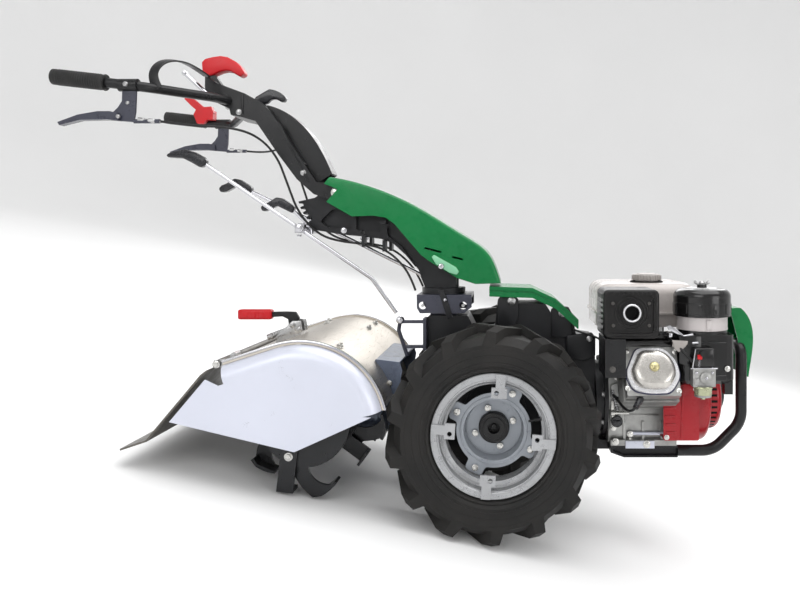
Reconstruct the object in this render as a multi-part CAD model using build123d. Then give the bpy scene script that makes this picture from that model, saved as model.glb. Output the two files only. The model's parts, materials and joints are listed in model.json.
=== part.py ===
# Two-wheeled walking tractor with a rear rotary tiller.
# Everything is drawn in a level working frame: X forward, Y to the left, Z up, the wheel axle above
# X = 0 and the ground at Z = 0. At the end the machine is leaned back about the axle until the tiller's
# hoes touch the floor, which is how it parks, and centred on its own box.
import math
import os

from build123d import *

os.makedirs("parts", exist_ok=True)

# Running clearance of a shaft, gap beside a fixed fit, and clearance of pieces that move past each other.
RUNNING_GAP = 0.1
SEAT_GAP = 0.3
SWEEP_GAP = 6.0

# Wheels with 5.00-10 lugged tyres.
TYRE_R = 250.0
TYRE_WIDTH = 128.0
LUG_HEIGHT = 17.0
LUG_COUNT = 14
LUG_WIDTH = 23.0
LUG_SLANT = -58.0
TRACK = 450.0
AXLE_Z = math.sqrt(TYRE_R ** 2 - (LUG_WIDTH / 2) ** 2)
RIM_FLANGE_R = 144.0
RIM_SEAT_R = 127.0
RIM_WELL_R = 114.0
RIM_WALL = 4.0
RIM_WIDTH = 106.0
BRACKET_TURN = -9.0
BRACKET_ARM = (-3.0, 19.0)
BRACKET_FOOT = (-12.0, 24.0)
BRACKET_T = 5.0
BRACKET_HOLE_R = 5.5
BRACKET_HOLE_AT = 101.0
DISC_TURN = 14.0
DISC_BOLT_R = 98.0
DISC_PLATE_T = 5.0
DISC_INSET = 55.0
DISH_R = 77.0
DISH_DEPTH = 40.0
HUB_R = 37.0
HUB_BORE_R = 14.0
HUB_FLANGE_R = 62.0
HUB_BOLT_R = 48.0
AXLE_R = 18.0
AXLE_TUBE_R = 46.0
AXLE_TUBE_END = 118.0
AXLE_DEPTH = 60.0

# Gear case and clutch housing.
CASE_HALF_W = 62.0
CASE_BACK = -176.0
CASE_FRONT = 150.0
CASE_BOTTOM = 165.0
CASE_TOP = 505.0
CASE_COVER_TOP = 536.0
CLUTCH_HALF_W = 58.0
CLUTCH_END = 262.0
BELL_R = 92.0
BELL_FLANGE_R = 104.0
BELL_FLANGE_T = 10.0

# Engine, crankshaft along X.
CRANK_Z = 287.0
ENGINE_X0 = 292.0
CRANKCASE_LEN = 176.0
CRANKCASE_HALF_W = 92.0
ENGINE_BASE_Z = 178.0
CRANKCASE_TOP_Z = 372.0
CYL_TILT = 27.0
CYL_X = 382.0
HEAD_AT = 190.0
HEAD_T = 30.0
FIN_COUNT = 6
SHROUD_R = 118.0
SHROUD_LEN = 84.0
SHROUD_T = 3.0
SHROUD_TOP = 344.0
SHROUD_SIDE_LEN = 41.0
RECOIL_R = 88.0
RECOIL_LEN = 36.0
TANK_X0 = 270.0
TANK_LEN = 262.0
TANK_Y0 = -53.0
TANK_WIDTH = 238.0
TANK_Z0 = 474.0
TANK_HEIGHT = 114.0
TANK_CORNER_R = 46.0
TANK_CROWN_R = 30.0
TANK_SEAM = 33.0
TANK_WALL = 4.0
CAP_X = 412.0
CAP_R = 38.0
MUFFLER_X0 = 262.0
MUFFLER_LEN = 135.0
MUFFLER_Y0 = -214.0
MUFFLER_WIDTH = 114.0
MUFFLER_Z0 = 465.0
MUFFLER_HEIGHT = 118.0
AIR_X = 520.0
AIR_Y = -132.0
AIR_CAP_R = 70.0
AIR_BAND_R = 62.0
AIR_BASE_Z = 352.0
AIR_BASE_Y0 = -196.0
AIR_BASE_LEN = 135.0
AIR_BAND_Z = 480.0
AIR_CAP_Z = 514.0
AIR_TOP_Z = 581.0
PLATE_Z = 148.0
PLATE_HALF_W = 104.0
BUMPER_R = 14.0
BUMPER_HALF_W = 92.0
BUMPER_X = 632.0
BUMPER_TOP = 430.0
SHIELD_HALF_W = 84.0
SHIELD_T = 3.0
SHIELD_TOP = 527.0
SHIELD_BOTTOM = 350.0
CARB_X = 501.0
CARB_R = 20.0

# Tiller.
ROTOR_X = -444.0
ROTOR_Z = 270.0
ROTOR_R = 178.0
ROTOR_SHAFT_R = 24.0
FLANGE_R = 104.0
FLANGE_T = 8.0
FLANGE_STEP = 75.0
FLANGE_FIRST = 85.0
HOE_W = 39.0
HOE_T = 7.0
HOE_WING = 42.0
HOE_BOLT = (-43.5, -73.0)
HOE_END = (-60.6, -156.0)
HOOD_CLEARANCE = 18.0
HOOD_R = ROTOR_R + HOOD_CLEARANCE
HOOD_T = 4.0
HOOD_LIP = 5.0
HOOD_HALF_W = 280.0
HOOD_FRONT_DEG = 12.0
HOOD_REAR_DEG = 108.0
HINGE_X = -622.0
HINGE_PIN_R = 4.0
HINGE_TUBE_R = 9.0
HINGE_BACK = 15.0
HINGE_EAR_IN = 14.0
CHEEK_BULGE = 26.0
CHEEK_ROUND = 40.0
CHEEK_T = 4.0
CHEEK_TIP = (-733.0, 290.0)
CHEEK_BOTTOM = (-450.0, 222.0)
DRIVE_Z = 240.0
DRIVE_R = 52.0
TILLER_CASE_HALF_W = 36.0
BRACKET_HALF_W = 140.0
FLAP_T = 4.0
DEPTH_X = -524.0
DEPTH_Z = 486.0
DEPTH_GRIP_R = 13.0

# Steering column and handlebars.
SWIVEL_X = -138.0
BASE_TOP_Z = 560.0
BASE_T = 8.0
BASE_HALF_W = 72.0
BASE_BACK = -202.0
BASE_FRONT = -60.0
BASE_HOLE_R = 10.0
SWIVEL_GAP = 0.5
TURNTABLE_T = 15.0
TURNTABLE_R = 58.0
POST_R = 24.5
TILT_X = -415.0
TILT_Z = 826.0
TILT_PIN_R = 12.0
ARM_HALF_W = 38.0
POCKET_DEPTH = 14.0
BEAM_HALF_W = 60.0
BEAM_WALL = 6.0
COVER_HALF_W = 76.0
COVER_T = 4.0
SECTOR_R = 96.0
SECTOR_TEETH = 4
SECTOR_TOOTH = 10.0
TUBE_R = 11.5
GRIP_R = 18.0
GRIP_LEN = 122.0
GRIP_Y = 270.0
GRIP_END = (-1016.0, 1079.0)
TUBE_BEND = (-812.0, 1056.0)
GRIP_SLOPE = (GRIP_END[1] - TUBE_BEND[1]) / (TUBE_BEND[0] - GRIP_END[0])
ROD_R = 5.0
ROD_Y = -84.0
ROD_Y_FAR = 44.0
BALL_AT = (-243.0, 496.0)
KNOB_NEAR = (-744.0, ROD_Y, 897.0)
KNOB_MIDDLE = (-673.0, ROD_Y_FAR, 836.0)
KNOB_FAR = (-543.0, 0.0, 782.0)
BALL_R = 10.0
CABLE_R = 3.0
CABLE_Y = 66.0


def box(x0, x1, y0, y1, z0, z1):
    """A block between two corners."""
    return Pos((x0 + x1) / 2, (y0 + y1) / 2, (z0 + z1) / 2) * Box(x1 - x0, y1 - y0, z1 - z0)


def cyl_x(x0, x1, y, z, r):
    return Pos((x0 + x1) / 2, y, z) * Rot(0, 90, 0) * Cylinder(r, x1 - x0)


def cyl_y(x, y0, y1, z, r):
    return Pos(x, (y0 + y1) / 2, z) * Rot(90, 0, 0) * Cylinder(r, y1 - y0)


def cyl_z(x, y, z0, z1, r):
    return Pos(x, y, (z0 + z1) / 2) * Cylinder(r, z1 - z0)


def side_plane(y):
    """The vertical plane at y whose own X and Y are the machine's X and Z, its normal towards -Y."""
    return Plane((0, y, 0), x_dir=(1, 0, 0), z_dir=(0, -1, 0))


def outline(points, corner=0.0):
    face = make_face(Polyline(*points, close=True))
    return fillet(face.vertices(), corner) if corner else face


def side_face(points, y, corner=0.0):
    return side_plane(y) * outline(points, corner)


def side_plate(points, y0, y1, corner=0.0):
    """A plate with a side outline of (X, Z) points, between y0 and y1."""
    return extrude(side_face(points, y1, corner), amount=y1 - y0)


def rod(points, radius, bends=12.0):
    """A round bar along points, its corners bent to a radius."""
    path = FilletPolyline(*points, radius=bends) if len(points) > 2 else Line(*points)
    return sweep(Plane(path @ 0, z_dir=path % 0) * Circle(radius), path=path)


def both_sides(shape):
    return shape + mirror(shape, Plane.XZ)


def about_axle(shape, side):
    """A wheel piece, drawn round the Y axis with its outer face towards -Y, at its place."""
    if side > 0:
        shape = mirror(shape, Plane.XZ)
    return Pos(0, side * TRACK / 2, AXLE_Z) * shape


def polar(x, z, radius, degrees):
    a = math.radians(degrees)
    return (x + radius * math.cos(a), z + radius * math.sin(a))


# Wheels
def lug(centre_deg, side):
    """One tread lug: a slanted bar from the middle of the tread out and down over one shoulder."""
    half = LUG_WIDTH / 2
    flare = 0.1
    root = TYRE_R - LUG_HEIGHT

    def section(y, along, top, bottom):
        foot = half + flare * (top - bottom)
        return side_face([(along - foot, bottom), (along - half, top), (along + half, top), (along + foot, bottom)], y)
    knee_y, shoulder_y = side * TYRE_WIDTH * 0.36, side * TYRE_WIDTH / 2
    bar = loft([section(-side * 6, 0, AXLE_Z, root - 10), section(knee_y, LUG_SLANT * 0.7, AXLE_Z, root - 14),
                section(shoulder_y, LUG_SLANT, AXLE_Z - 14, root - 34)], ruled=True)
    return Rot(0, centre_deg, 0) * bar


def tyre():
    half = TYRE_WIDTH / 2
    crown = TYRE_R - LUG_HEIGHT
    bead = RIM_WIDTH / 2 - RIM_WALL - SEAT_GAP
    foot = RIM_SEAT_R + RIM_WALL + SEAT_GAP
    profile = [
        (foot, -bead), (RIM_FLANGE_R + 3, -bead), (RIM_FLANGE_R + 20, -half + 1), (crown - 20, -half),
        (crown - 3, -half + 20), (crown, -half + 44), (crown, half - 44), (crown - 3, half - 20),
        (crown - 20, half), (RIM_FLANGE_R + 20, half - 1), (RIM_FLANGE_R + 3, bead), (foot, bead),
    ]
    carcass = revolve(make_face(Polyline(*profile, close=True)), Axis.Y)
    pitch = 360 / LUG_COUNT
    lugs = [lug(i * pitch, -1) for i in range(LUG_COUNT)]
    lugs += [lug((i + 0.5) * pitch, 1) for i in range(LUG_COUNT)]
    return carcass + lugs


def rim():
    half = RIM_WIDTH / 2
    w = RIM_WALL
    seat, well = RIM_SEAT_R, RIM_WELL_R
    section = [
        (RIM_FLANGE_R, -half), (RIM_FLANGE_R, -half + w), (seat + w, -half + w), (seat + w, -half + 24),
        (well + w, -half + 34), (well + w, half - 34), (seat + w, half - 24), (seat + w, half - w),
        (RIM_FLANGE_R, half - w), (RIM_FLANGE_R, half), (seat + w, half), (seat, half - w),
        (seat, half - 24), (well, half - 34), (well, -half + 34), (seat, -half + 24),
        (seat, -half + w), (seat + w, -half),
    ]
    shape = revolve(make_face(Polyline(*section, close=True)), Axis.Y)
    ear_y = -half + DISC_INSET + DISC_PLATE_T
    ear = box(-15, 15, ear_y, ear_y + 6, DISC_BOLT_R - 14, well + 1)
    arm = box(*BRACKET_ARM, -half - BRACKET_T, -half, BRACKET_HOLE_AT, RIM_FLANGE_R)
    foot = box(*BRACKET_FOOT, -half - BRACKET_T, -half, BRACKET_HOLE_AT - 12, BRACKET_HOLE_AT + 12)
    bracket = arm + foot - cyl_y(0, -half - BRACKET_T - 1, -half + 1, BRACKET_HOLE_AT, BRACKET_HOLE_R)
    for i in range(4):
        shape += Rot(0, DISC_TURN + 90 * i, 0) * ear
        shape += Rot(0, BRACKET_TURN + 90 * i, 0) * bracket
    return shape


def wheel_disc():
    """The four-lobed plate with its round dish sunk inwards."""
    t = DISC_PLATE_T
    face_y = -RIM_WIDTH / 2 + DISC_INSET
    floor = face_y + DISH_DEPTH
    bar = Rectangle(2 * DISC_BOLT_R + 26, 44)
    lobes = bar + Rot(0, 0, 90) * bar + Circle(DISH_R + 12)
    lobes = fillet(lobes.vertices(), 9)
    plate = extrude(Plane((0, face_y, 0), x_dir=(1, 0, 0), z_dir=(0, 1, 0)) * lobes, amount=t)
    plate -= cyl_y(0, face_y - 1, face_y + t + 1, 0, DISH_R - t)
    cup = [(DISH_R, face_y), (DISH_R - 4, floor), (HUB_R + 0.5, floor), (HUB_R + 0.5, floor - t),
           (DISH_R - 4 - t, floor - t), (DISH_R - t, face_y)]
    shape = plate + revolve(make_face(Polyline(*cup, close=True)), Axis.Y)
    for i in range(4):
        x, z = polar(0, 0, DISC_BOLT_R, 90 * i)
        shape += cyl_y(x, face_y - 6, face_y, z, 8)
        x, z = polar(0, 0, HUB_BOLT_R, 90 * i + 45)
        shape += cyl_y(x, floor - t - 7, floor - t, z, 7.5)
    return Rot(0, DISC_TURN, 0) * shape


def hub():
    """The black hub that carries the disc, with its stub axle running into the axle tube."""
    floor = -RIM_WIDTH / 2 + DISC_INSET + DISH_DEPTH
    tube_end = TRACK / 2 - AXLE_TUBE_END
    profile = [
        (HUB_BORE_R, floor - 22), (HUB_R - 4, floor - 22), (HUB_R, floor - 18), (HUB_R, floor),
        (HUB_FLANGE_R, floor), (HUB_FLANGE_R, floor + 10), (AXLE_TUBE_R - 6, floor + 16),
        (AXLE_TUBE_R - 6, tube_end - SWEEP_GAP), (AXLE_R, tube_end - SWEEP_GAP), (AXLE_R, tube_end + AXLE_DEPTH),
        (0, tube_end + AXLE_DEPTH), (0, floor + 2), (HUB_BORE_R, floor + 2),
    ]
    return revolve(make_face(Polyline(*profile, close=True)), Axis.Y)


# Gear case, clutch housing and axle tubes
def gear_case():
    back, front, top = CASE_BACK, CASE_FRONT, CASE_TOP
    side = [
        (back, CASE_BOTTOM + 8), (back, top), (BASE_FRONT - 10, top), (BASE_FRONT + 8, top - 37), (0, top - 37),
        (6, CASE_COVER_TOP), (front - 18, CASE_COVER_TOP), (front - 6, top + 12), (front, top - 5),
        (front, CASE_BOTTOM + 25), (front - 30, CASE_BOTTOM), (back + 46, CASE_BOTTOM),
    ]
    shape = side_plate(side, -CASE_HALF_W, CASE_HALF_W, 8)
    shape += cyl_y(0, -AXLE_TUBE_END, AXLE_TUBE_END, AXLE_Z, AXLE_TUBE_R)
    shape += cyl_y(0, -CASE_HALF_W - 12, CASE_HALF_W + 12, AXLE_Z, AXLE_TUBE_R + 38)
    bore_end = AXLE_TUBE_END - AXLE_DEPTH - 2
    shape -= both_sides(cyl_y(0, bore_end, AXLE_TUBE_END + 1, AXLE_Z, AXLE_R + RUNNING_GAP))
    post = box(20, 50, 26, 46, CASE_COVER_TOP, FRONT_COVER[1][1] - 1) - front_cover()
    return shape + both_sides(post)


def clutch_housing():
    x0, x1 = CASE_FRONT, CLUTCH_END
    side = [(x0, CASE_BOTTOM + 50), (x0, CASE_TOP), (x0 + 55, CASE_TOP - 5), (x0 + 62, CASE_TOP - 50),
            (x1, CASE_TOP - 57), (x1, CASE_BOTTOM + 30), (x0 + 80, CASE_BOTTOM + 25)]
    shape = side_plate(side, -CLUTCH_HALF_W, CLUTCH_HALF_W, 6)
    face = ENGINE_X0 - BELL_FLANGE_T
    return shape + cyl_x(x1, face, 0, CRANK_Z, BELL_R) + cyl_x(face, ENGINE_X0, 0, CRANK_Z, BELL_FLANGE_R)


# Engine
def cylinder_frame():
    """The plane across the cylinder's axis, at the crankshaft: its normal leans up to the right side."""
    a = math.radians(CYL_TILT)
    return Plane((CYL_X, 0, CRANK_Z), x_dir=(1, 0, 0), z_dir=(0, -math.cos(a), math.sin(a)))


def engine_block():
    """The space that the crankcase takes up, to cut its neighbours."""
    return box(ENGINE_X0 - 1, ENGINE_X0 + CRANKCASE_LEN, -CRANKCASE_HALF_W, CRANKCASE_HALF_W,
               ENGINE_BASE_Z, CRANKCASE_TOP_Z)


def crankcase():
    x1 = ENGINE_X0 + CRANKCASE_LEN
    shape = box(ENGINE_X0, x1, -CRANKCASE_HALF_W, CRANKCASE_HALF_W, ENGINE_BASE_Z, CRANKCASE_TOP_Z)
    shape = fillet(shape.edges().filter_by(Axis.X), 26)
    shape += box(ENGINE_X0 + 4, x1 - 4, -PLATE_HALF_W, PLATE_HALF_W, ENGINE_BASE_Z, ENGINE_BASE_Z + 14)
    for i in range(3):
        x = ENGINE_X0 + 40 + i * 48
        shape += box(x - 3, x + 3, -CRANKCASE_HALF_W - 5, -CRANKCASE_HALF_W + 1, ENGINE_BASE_Z + 14, ENGINE_BASE_Z + 60)
    return shape


def cylinder():
    frame = cylinder_frame()
    shape = extrude(frame.offset(70) * Rectangle(104, 104), amount=HEAD_AT - 70)
    for i in range(FIN_COUNT):
        shape += extrude(frame.offset(112 + i * 13) * Rectangle(136, 132), amount=5)
    shape += extrude(frame.offset(HEAD_AT) * Rectangle(128, 124), amount=HEAD_T)
    return shape - engine_block()


def valve_cover():
    frame = cylinder_frame()
    at = HEAD_AT + HEAD_T
    corners = [(-64, -14), (-46, -52), (-8, -58), (38, -56), (64, -20), (58, 24), (34, 54), (-34, 54), (-58, 20)]
    face = outline(corners, 14)
    lip = extrude(frame.offset(at) * face, amount=8)
    dome = extrude(frame.offset(at + 8) * scale(face, (0.88, 0.88, 1)), amount=22)
    dome = chamfer(dome.faces().sort_by(Axis(frame.origin, frame.z_dir))[-1].edges(), 7)
    boss = extrude(frame.offset(at + 30) * Circle(13), amount=8)
    return lip + dome + boss


def fuel_tank():
    x1, y1, z1 = TANK_X0 + TANK_LEN, TANK_Y0 + TANK_WIDTH, TANK_Z0 + TANK_HEIGHT
    tank = box(TANK_X0, x1, TANK_Y0, y1, TANK_Z0, z1)
    tank = fillet(tank.edges().filter_by(Axis.Z), TANK_CORNER_R)
    tank = fillet(tank.faces().sort_by(Axis.Z)[-1].edges(), TANK_CROWN_R)
    seam_z = TANK_Z0 + TANK_SEAM
    seam = box(TANK_X0 - 5, x1 + 5, TANK_Y0 - 5, y1 + 5, seam_z, seam_z + 6)
    seam = fillet(seam.edges().filter_by(Axis.Z), TANK_CORNER_R + 5)
    neck = cyl_z(CAP_X, 20, z1, z1 + 6, CAP_R - 8)
    w = TANK_WALL
    inside = box(TANK_X0 + w, x1 - w, TANK_Y0 + w, y1 - w, TANK_Z0 + w, z1 - TANK_CROWN_R / 2 - w)
    inside = fillet(inside.edges().filter_by(Axis.Z), TANK_CORNER_R - w)
    return tank + seam + neck - inside - cyl_z(CAP_X, 20, z1 - TANK_CROWN_R, z1 + 7, CAP_R - 14)


def tank_cap():
    z = TANK_Z0 + TANK_HEIGHT + 6
    return fillet(cyl_z(CAP_X, 20, z, z + 16, CAP_R).faces().sort_by(Axis.Z)[-1].edges(), 4)


def engine_brackets():
    """The tank's two feet and the guard under the muffler."""
    feet = [box(x, x + 18, -40, 120, CRANKCASE_TOP_Z, CRANKCASE_TOP_Z + 5)
            + box(x, x + 4, -40, 120, CRANKCASE_TOP_Z, TANK_Z0) for x in (306, 442)]
    guard = box(MUFFLER_X0 + 4, MUFFLER_X0 + 8, MUFFLER_Y0, -100, 372, MUFFLER_Z0)
    guard += box(MUFFLER_X0 + 4, MUFFLER_X0 + 54, MUFFLER_Y0, MUFFLER_Y0 + 4, 372, MUFFLER_Z0)
    return (feet[0] + feet[1] + guard) - cylinder() - valve_cover()


def muffler():
    x1, y1, z1 = MUFFLER_X0 + MUFFLER_LEN, MUFFLER_Y0 + MUFFLER_WIDTH, MUFFLER_Z0 + MUFFLER_HEIGHT
    shape = box(MUFFLER_X0, x1, MUFFLER_Y0, y1, MUFFLER_Z0, z1)
    shape = fillet(shape.edges().filter_by(Axis.Y), 14)
    shape = fillet(shape.faces().sort_by(Axis.Y)[0].edges(), 8)
    panel = box(MUFFLER_X0 + 14, x1 - 14, MUFFLER_Y0 - 1, MUFFLER_Y0 + 4, MUFFLER_Z0 + 13, z1 - 14)
    shape -= fillet(panel.edges().filter_by(Axis.Y), 10)
    wall = 6
    shape -= box(MUFFLER_X0 + wall, x1 - wall, MUFFLER_Y0 + 2 * wall, y1 - wall, MUFFLER_Z0 + wall, z1 - wall)
    louvres = int((MUFFLER_HEIGHT - 36) / 13)
    for i in range(louvres):
        z = MUFFLER_Z0 + 19 + i * 13
        shape -= box(MUFFLER_X0 - 1, MUFFLER_X0 + wall + 1, MUFFLER_Y0 + 18, y1 - 14, z, z + 6)
    ring_x, ring_z = MUFFLER_X0 + MUFFLER_LEN / 2, MUFFLER_Z0 + MUFFLER_HEIGHT * 0.53
    ring = cyl_y(ring_x, MUFFLER_Y0 - 8, MUFFLER_Y0 + 12, ring_z, 21)
    bore = cyl_y(ring_x, MUFFLER_Y0 - 9, MUFFLER_Y0 + 13, ring_z, 16)
    pipe = box(MUFFLER_X0 + 30, MUFFLER_X0 + 60, -150, -122, 380, MUFFLER_Z0)
    return shape + ring - bore + (pipe - cylinder())


def air_cleaner_base():
    x0, x1 = AIR_X - 70, AIR_X - 70 + AIR_BASE_LEN
    base = box(x0, x1, AIR_BASE_Y0, AIR_BASE_Y0 + 102, AIR_BASE_Z, AIR_BAND_Z - 8)
    base = fillet(base.edges().filter_by(Axis.Z), 24)
    base = chamfer(base.faces().sort_by(Axis.Z)[0].edges(), 10)
    base += box(484, 534, -140, -112, SHROUD_TOP + SEAT_GAP, AIR_BASE_Z)
    base += box(x1 - 25, x1 - 5, AIR_BASE_Y0 + 8, AIR_BASE_Y0 + 30, AIR_BASE_Z - 25, AIR_BASE_Z + 12)
    return base + cyl_z(AIR_X, AIR_Y, AIR_BAND_Z - 8, AIR_BAND_Z, AIR_BAND_R)


def air_cleaner_cap():
    cap = cyl_z(AIR_X, AIR_Y, AIR_CAP_Z, AIR_TOP_Z, AIR_CAP_R)
    cap = fillet(cap.faces().sort_by(Axis.Z)[-1].edges(), 20)
    return cap + cyl_z(AIR_X, AIR_Y, AIR_TOP_Z, AIR_TOP_Z + 9, 12)


def air_cleaner_band():
    return cyl_z(AIR_X, AIR_Y, AIR_BAND_Z, AIR_CAP_Z, AIR_BAND_R)


def carburettor():
    """The body on the air cleaner's outer side, with its float bowl below."""
    y = AIR_BASE_Y0
    body = box(CARB_X - 27, CARB_X + 27, y - 26, y, AIR_BASE_Z, AIR_BASE_Z + 43)
    return body + cyl_z(CARB_X, y - 13, AIR_BASE_Z - 25, AIR_BASE_Z, CARB_R)


def fan_shroud():
    """The red blower housing in front of the crankcase, with the recoil starter's slotted cover."""
    x0 = ENGINE_X0 + CRANKCASE_LEN
    x1 = x0 + SHROUD_LEN
    t = SHROUD_T
    drum = cyl_x(x0, x1, 0, CRANK_Z, SHROUD_R)
    drum = fillet(drum.faces().sort_by(Axis.X)[-1].edges(), 14)
    top = SHROUD_TOP
    x2 = x0 + SHROUD_SIDE_LEN
    side = [(420, 204), (420, top - 44), (x0, top), (x2, top), (x2, 204)]
    inner = [(420 - t, 204 + t), (420 - t, top - 46), (x0 + t, top - t), (x2 - t, top - t), (x2 - t, 204 + t)]
    shape = drum + side_plate(side, -150, -60, 6)
    shape -= cyl_x(x0 - 1, x1 - 5, 0, CRANK_Z, SHROUD_R - 5) + side_plate(inner, -150 + t, -60, 4)
    shape = shape - crankcase() - cylinder() - valve_cover()
    shape = Part() + max(shape.solids(), key=lambda solid: solid.volume)
    dome = cyl_x(x1, x1 + RECOIL_LEN, 0, CRANK_Z, RECOIL_R)
    dome = fillet(dome.faces().sort_by(Axis.X)[-1].edges(), 16)
    dome -= cyl_x(x1 - 1, x1 + RECOIL_LEN - 4, 0, CRANK_Z, RECOIL_R - 6)
    for i in range(12):
        slot = box(x1 + RECOIL_LEN - 8, x1 + RECOIL_LEN + 2, -4, 4, 36, RECOIL_R - 24)
        dome -= Pos(0, 0, CRANK_Z) * Rot(30 * i, 0, 0) * slot
    return shape + dome


def shield_filled(inset, past):
    """The guard's outer form, or with an inset the hollow that is open past its back and bottom."""
    x, top, bottom = BUMPER_X, SHIELD_TOP - inset, SHIELD_BOTTOM
    front = Spline((x + 2, 0, top), (x + 26 - inset, 0, 494), (x + 33 - inset, 0, 430), (x + 22 - inset, 0, bottom))
    ends = [(x + 4 - past, 0, bottom - past), (x - 6 - past, 0, 446), (x - 26 - past, 0, top), (x + 2, 0, top)]
    if past:
        ends = [(x + 22 - inset, 0, bottom - past)] + ends
    back = Polyline((x + 22 - inset, 0, bottom), *ends)
    return extrude(make_face([front, back]), amount=SHIELD_HALF_W - inset, both=True)


def front_shield():
    """The green moulded guard in front of the starter, notched round the bumper that carries it."""
    back_open = 14
    return shield_filled(0, 0) - shield_filled(SHIELD_T, back_open) - bumper()


def engine_plate():
    x0, x1 = ENGINE_X0 + 4, ENGINE_X0 + CRANKCASE_LEN - 1
    z1 = ENGINE_BASE_Z
    tray = side_plate([(x0, z1), (x0, PLATE_Z + 12), (x0 + 34, PLATE_Z), (x1, PLATE_Z), (x1, PLATE_Z + 5),
                       (x0 + 36, PLATE_Z + 5), (x0 + 6, PLATE_Z + 16), (x0 + 6, z1)], -PLATE_HALF_W, PLATE_HALF_W)
    deck = box(x0, x1, -PLATE_HALF_W, PLATE_HALF_W, z1 - 6, z1)
    ribs = both_sides(side_plate([(x0, z1), (x0, PLATE_Z + 12), (x0 + 34, PLATE_Z), (x1, PLATE_Z), (x1, z1)],
                                 PLATE_HALF_W - 24, PLATE_HALF_W - 12))
    arm = side_plate([(CASE_FRONT, CASE_BOTTOM), (CLUTCH_END, PLATE_Z + 6), (x0 + 8, PLATE_Z + 6), (x0 + 8, z1),
                      (ENGINE_X0 - BELL_FLANGE_T, z1), (CASE_FRONT + 80, CASE_BOTTOM + 25), (CASE_FRONT, CASE_BOTTOM + 25)],
                     -50, 50)
    return tray + deck + ribs + arm


def bumper():
    """One bent tube: out from under the engine, up in front of it, across and back down."""
    x0, x1 = ENGINE_X0 + CRANKCASE_LEN - 1, BUMPER_X
    w, z0, z1 = BUMPER_HALF_W, PLATE_Z + BUMPER_R + 1, BUMPER_TOP
    route = [(x0, -w, z0), (x1 - 72, -w, z0), (x1, -w, z0 + 73), (x1, -w, z1), (x1, w, z1), (x1, w, z0 + 73),
             (x1 - 72, w, z0), (x0, w, z0)]
    return rod(route, BUMPER_R, [70, 70, 30, 30, 70, 70])


# Tiller
def at_rotor(points):
    return [(ROTOR_X + x, ROTOR_Z + z) for x, z in points]


def straight_hoe(y, wing):
    """A flat bar bolted to its flange, its end folded sideways."""
    dx, dz = HOE_END[0] - HOE_BOLT[0], HOE_END[1] - HOE_BOLT[1]
    length = math.hypot(dx, dz)
    ux, uz = dx / length, dz / length
    h = HOE_W / 2

    def corner(along, across):
        return (HOE_BOLT[0] + ux * along + uz * across, HOE_BOLT[1] + uz * along - ux * across)
    bar = side_plate([corner(-20, -h), corner(-20, h), corner(length, h), corner(length, -h)], y, y + HOE_T)
    fold = [corner(length - HOE_T, -h), corner(length - HOE_T, h), corner(length, h), corner(length, -h)]
    y0, y1 = (y, y + HOE_WING) if wing > 0 else (y + HOE_T - HOE_WING, y + HOE_T)
    return bar + side_plate(fold, y0, y1)


def curved_hoe(y, wing):
    """A sickle-shaped hoe, its belly on the rotor's circle and its tip curling forward."""
    r = ROTOR_R
    belly, belly_end, tip = (0, -r), (20, -math.sqrt(r ** 2 - 400)), (60, -r + 29)
    edges = [Line((-48, -60), (-46, -96)), ThreePointArc((-46, -96), (-28, -r + 34), belly),
             Line(belly, belly_end), ThreePointArc(belly_end, (42, -r + 13), tip),
             ThreePointArc(tip, (24, -r + 31), (-4, -110)), Line((-4, -110), (-12, -58)), Line((-12, -58), (-48, -60))]
    blade = extrude(side_plane(y + HOE_T) * make_face(Curve() + edges), amount=HOE_T)
    fold = [Line(belly, belly_end), ThreePointArc(belly_end, (42, -r + 13), tip), Line(tip, (55, -r + 33)),
            ThreePointArc((55, -r + 33), (38, -r + 21), (18, -r + 8)), Line((18, -r + 8), (0, -r + 8)),
            Line((0, -r + 8), belly)]
    y0, y1 = (y, y + HOE_WING) if wing > 0 else (y + HOE_T - HOE_WING, y + HOE_T)
    return blade + extrude(side_plane(y1) * make_face(Curve() + fold), amount=y1 - y0)


def rotor():
    """The shaft with three flanges each side, two pairs of hoes on every flange, round the Y axis."""
    ends = FLANGE_FIRST + 2 * FLANGE_STEP + FLANGE_T
    shape = cyl_y(0, -ends, ends, 0, ROTOR_SHAFT_R)
    for side in (-1, 1):
        for n in range(3):
            y = side * (FLANGE_FIRST + n * FLANGE_STEP)
            shape += cyl_y(0, y - FLANGE_T / 2, y + FLANGE_T / 2, 0, FLANGE_R)
            inward, outward = -side, side
            wings = ((outward, outward), (inward, outward), (inward, inward))[n]
            outer_y = y + FLANGE_T / 2 if side > 0 else y - FLANGE_T / 2 - HOE_T
            inner_y = y - FLANGE_T / 2 - HOE_T if side > 0 else y + FLANGE_T / 2
            pair = straight_hoe(outer_y, wings[0]) + curved_hoe(inner_y, wings[1])
            for k in range(2):
                shape += Rot(0, 60 * (2 - n) + 180 * k - ROTOR_PHASE, 0) * pair
    return Pos(ROTOR_X, 0, ROTOR_Z) * shape


def hood_path(radius):
    """The hood's section: front end, middle and end of the arc over the rotor, and the tail at the hinge."""
    end = polar(ROTOR_X, ROTOR_Z, radius, HOOD_REAR_DEG)
    slope = math.tan(math.radians(HOOD_REAR_DEG - 90))
    tail = (HINGE_X, end[1] - (end[0] - HINGE_X) * slope)
    return (polar(ROTOR_X, ROTOR_Z, radius, HOOD_FRONT_DEG),
            polar(ROTOR_X, ROTOR_Z, radius, (HOOD_FRONT_DEG + HOOD_REAR_DEG) / 2), end, tail)


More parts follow.
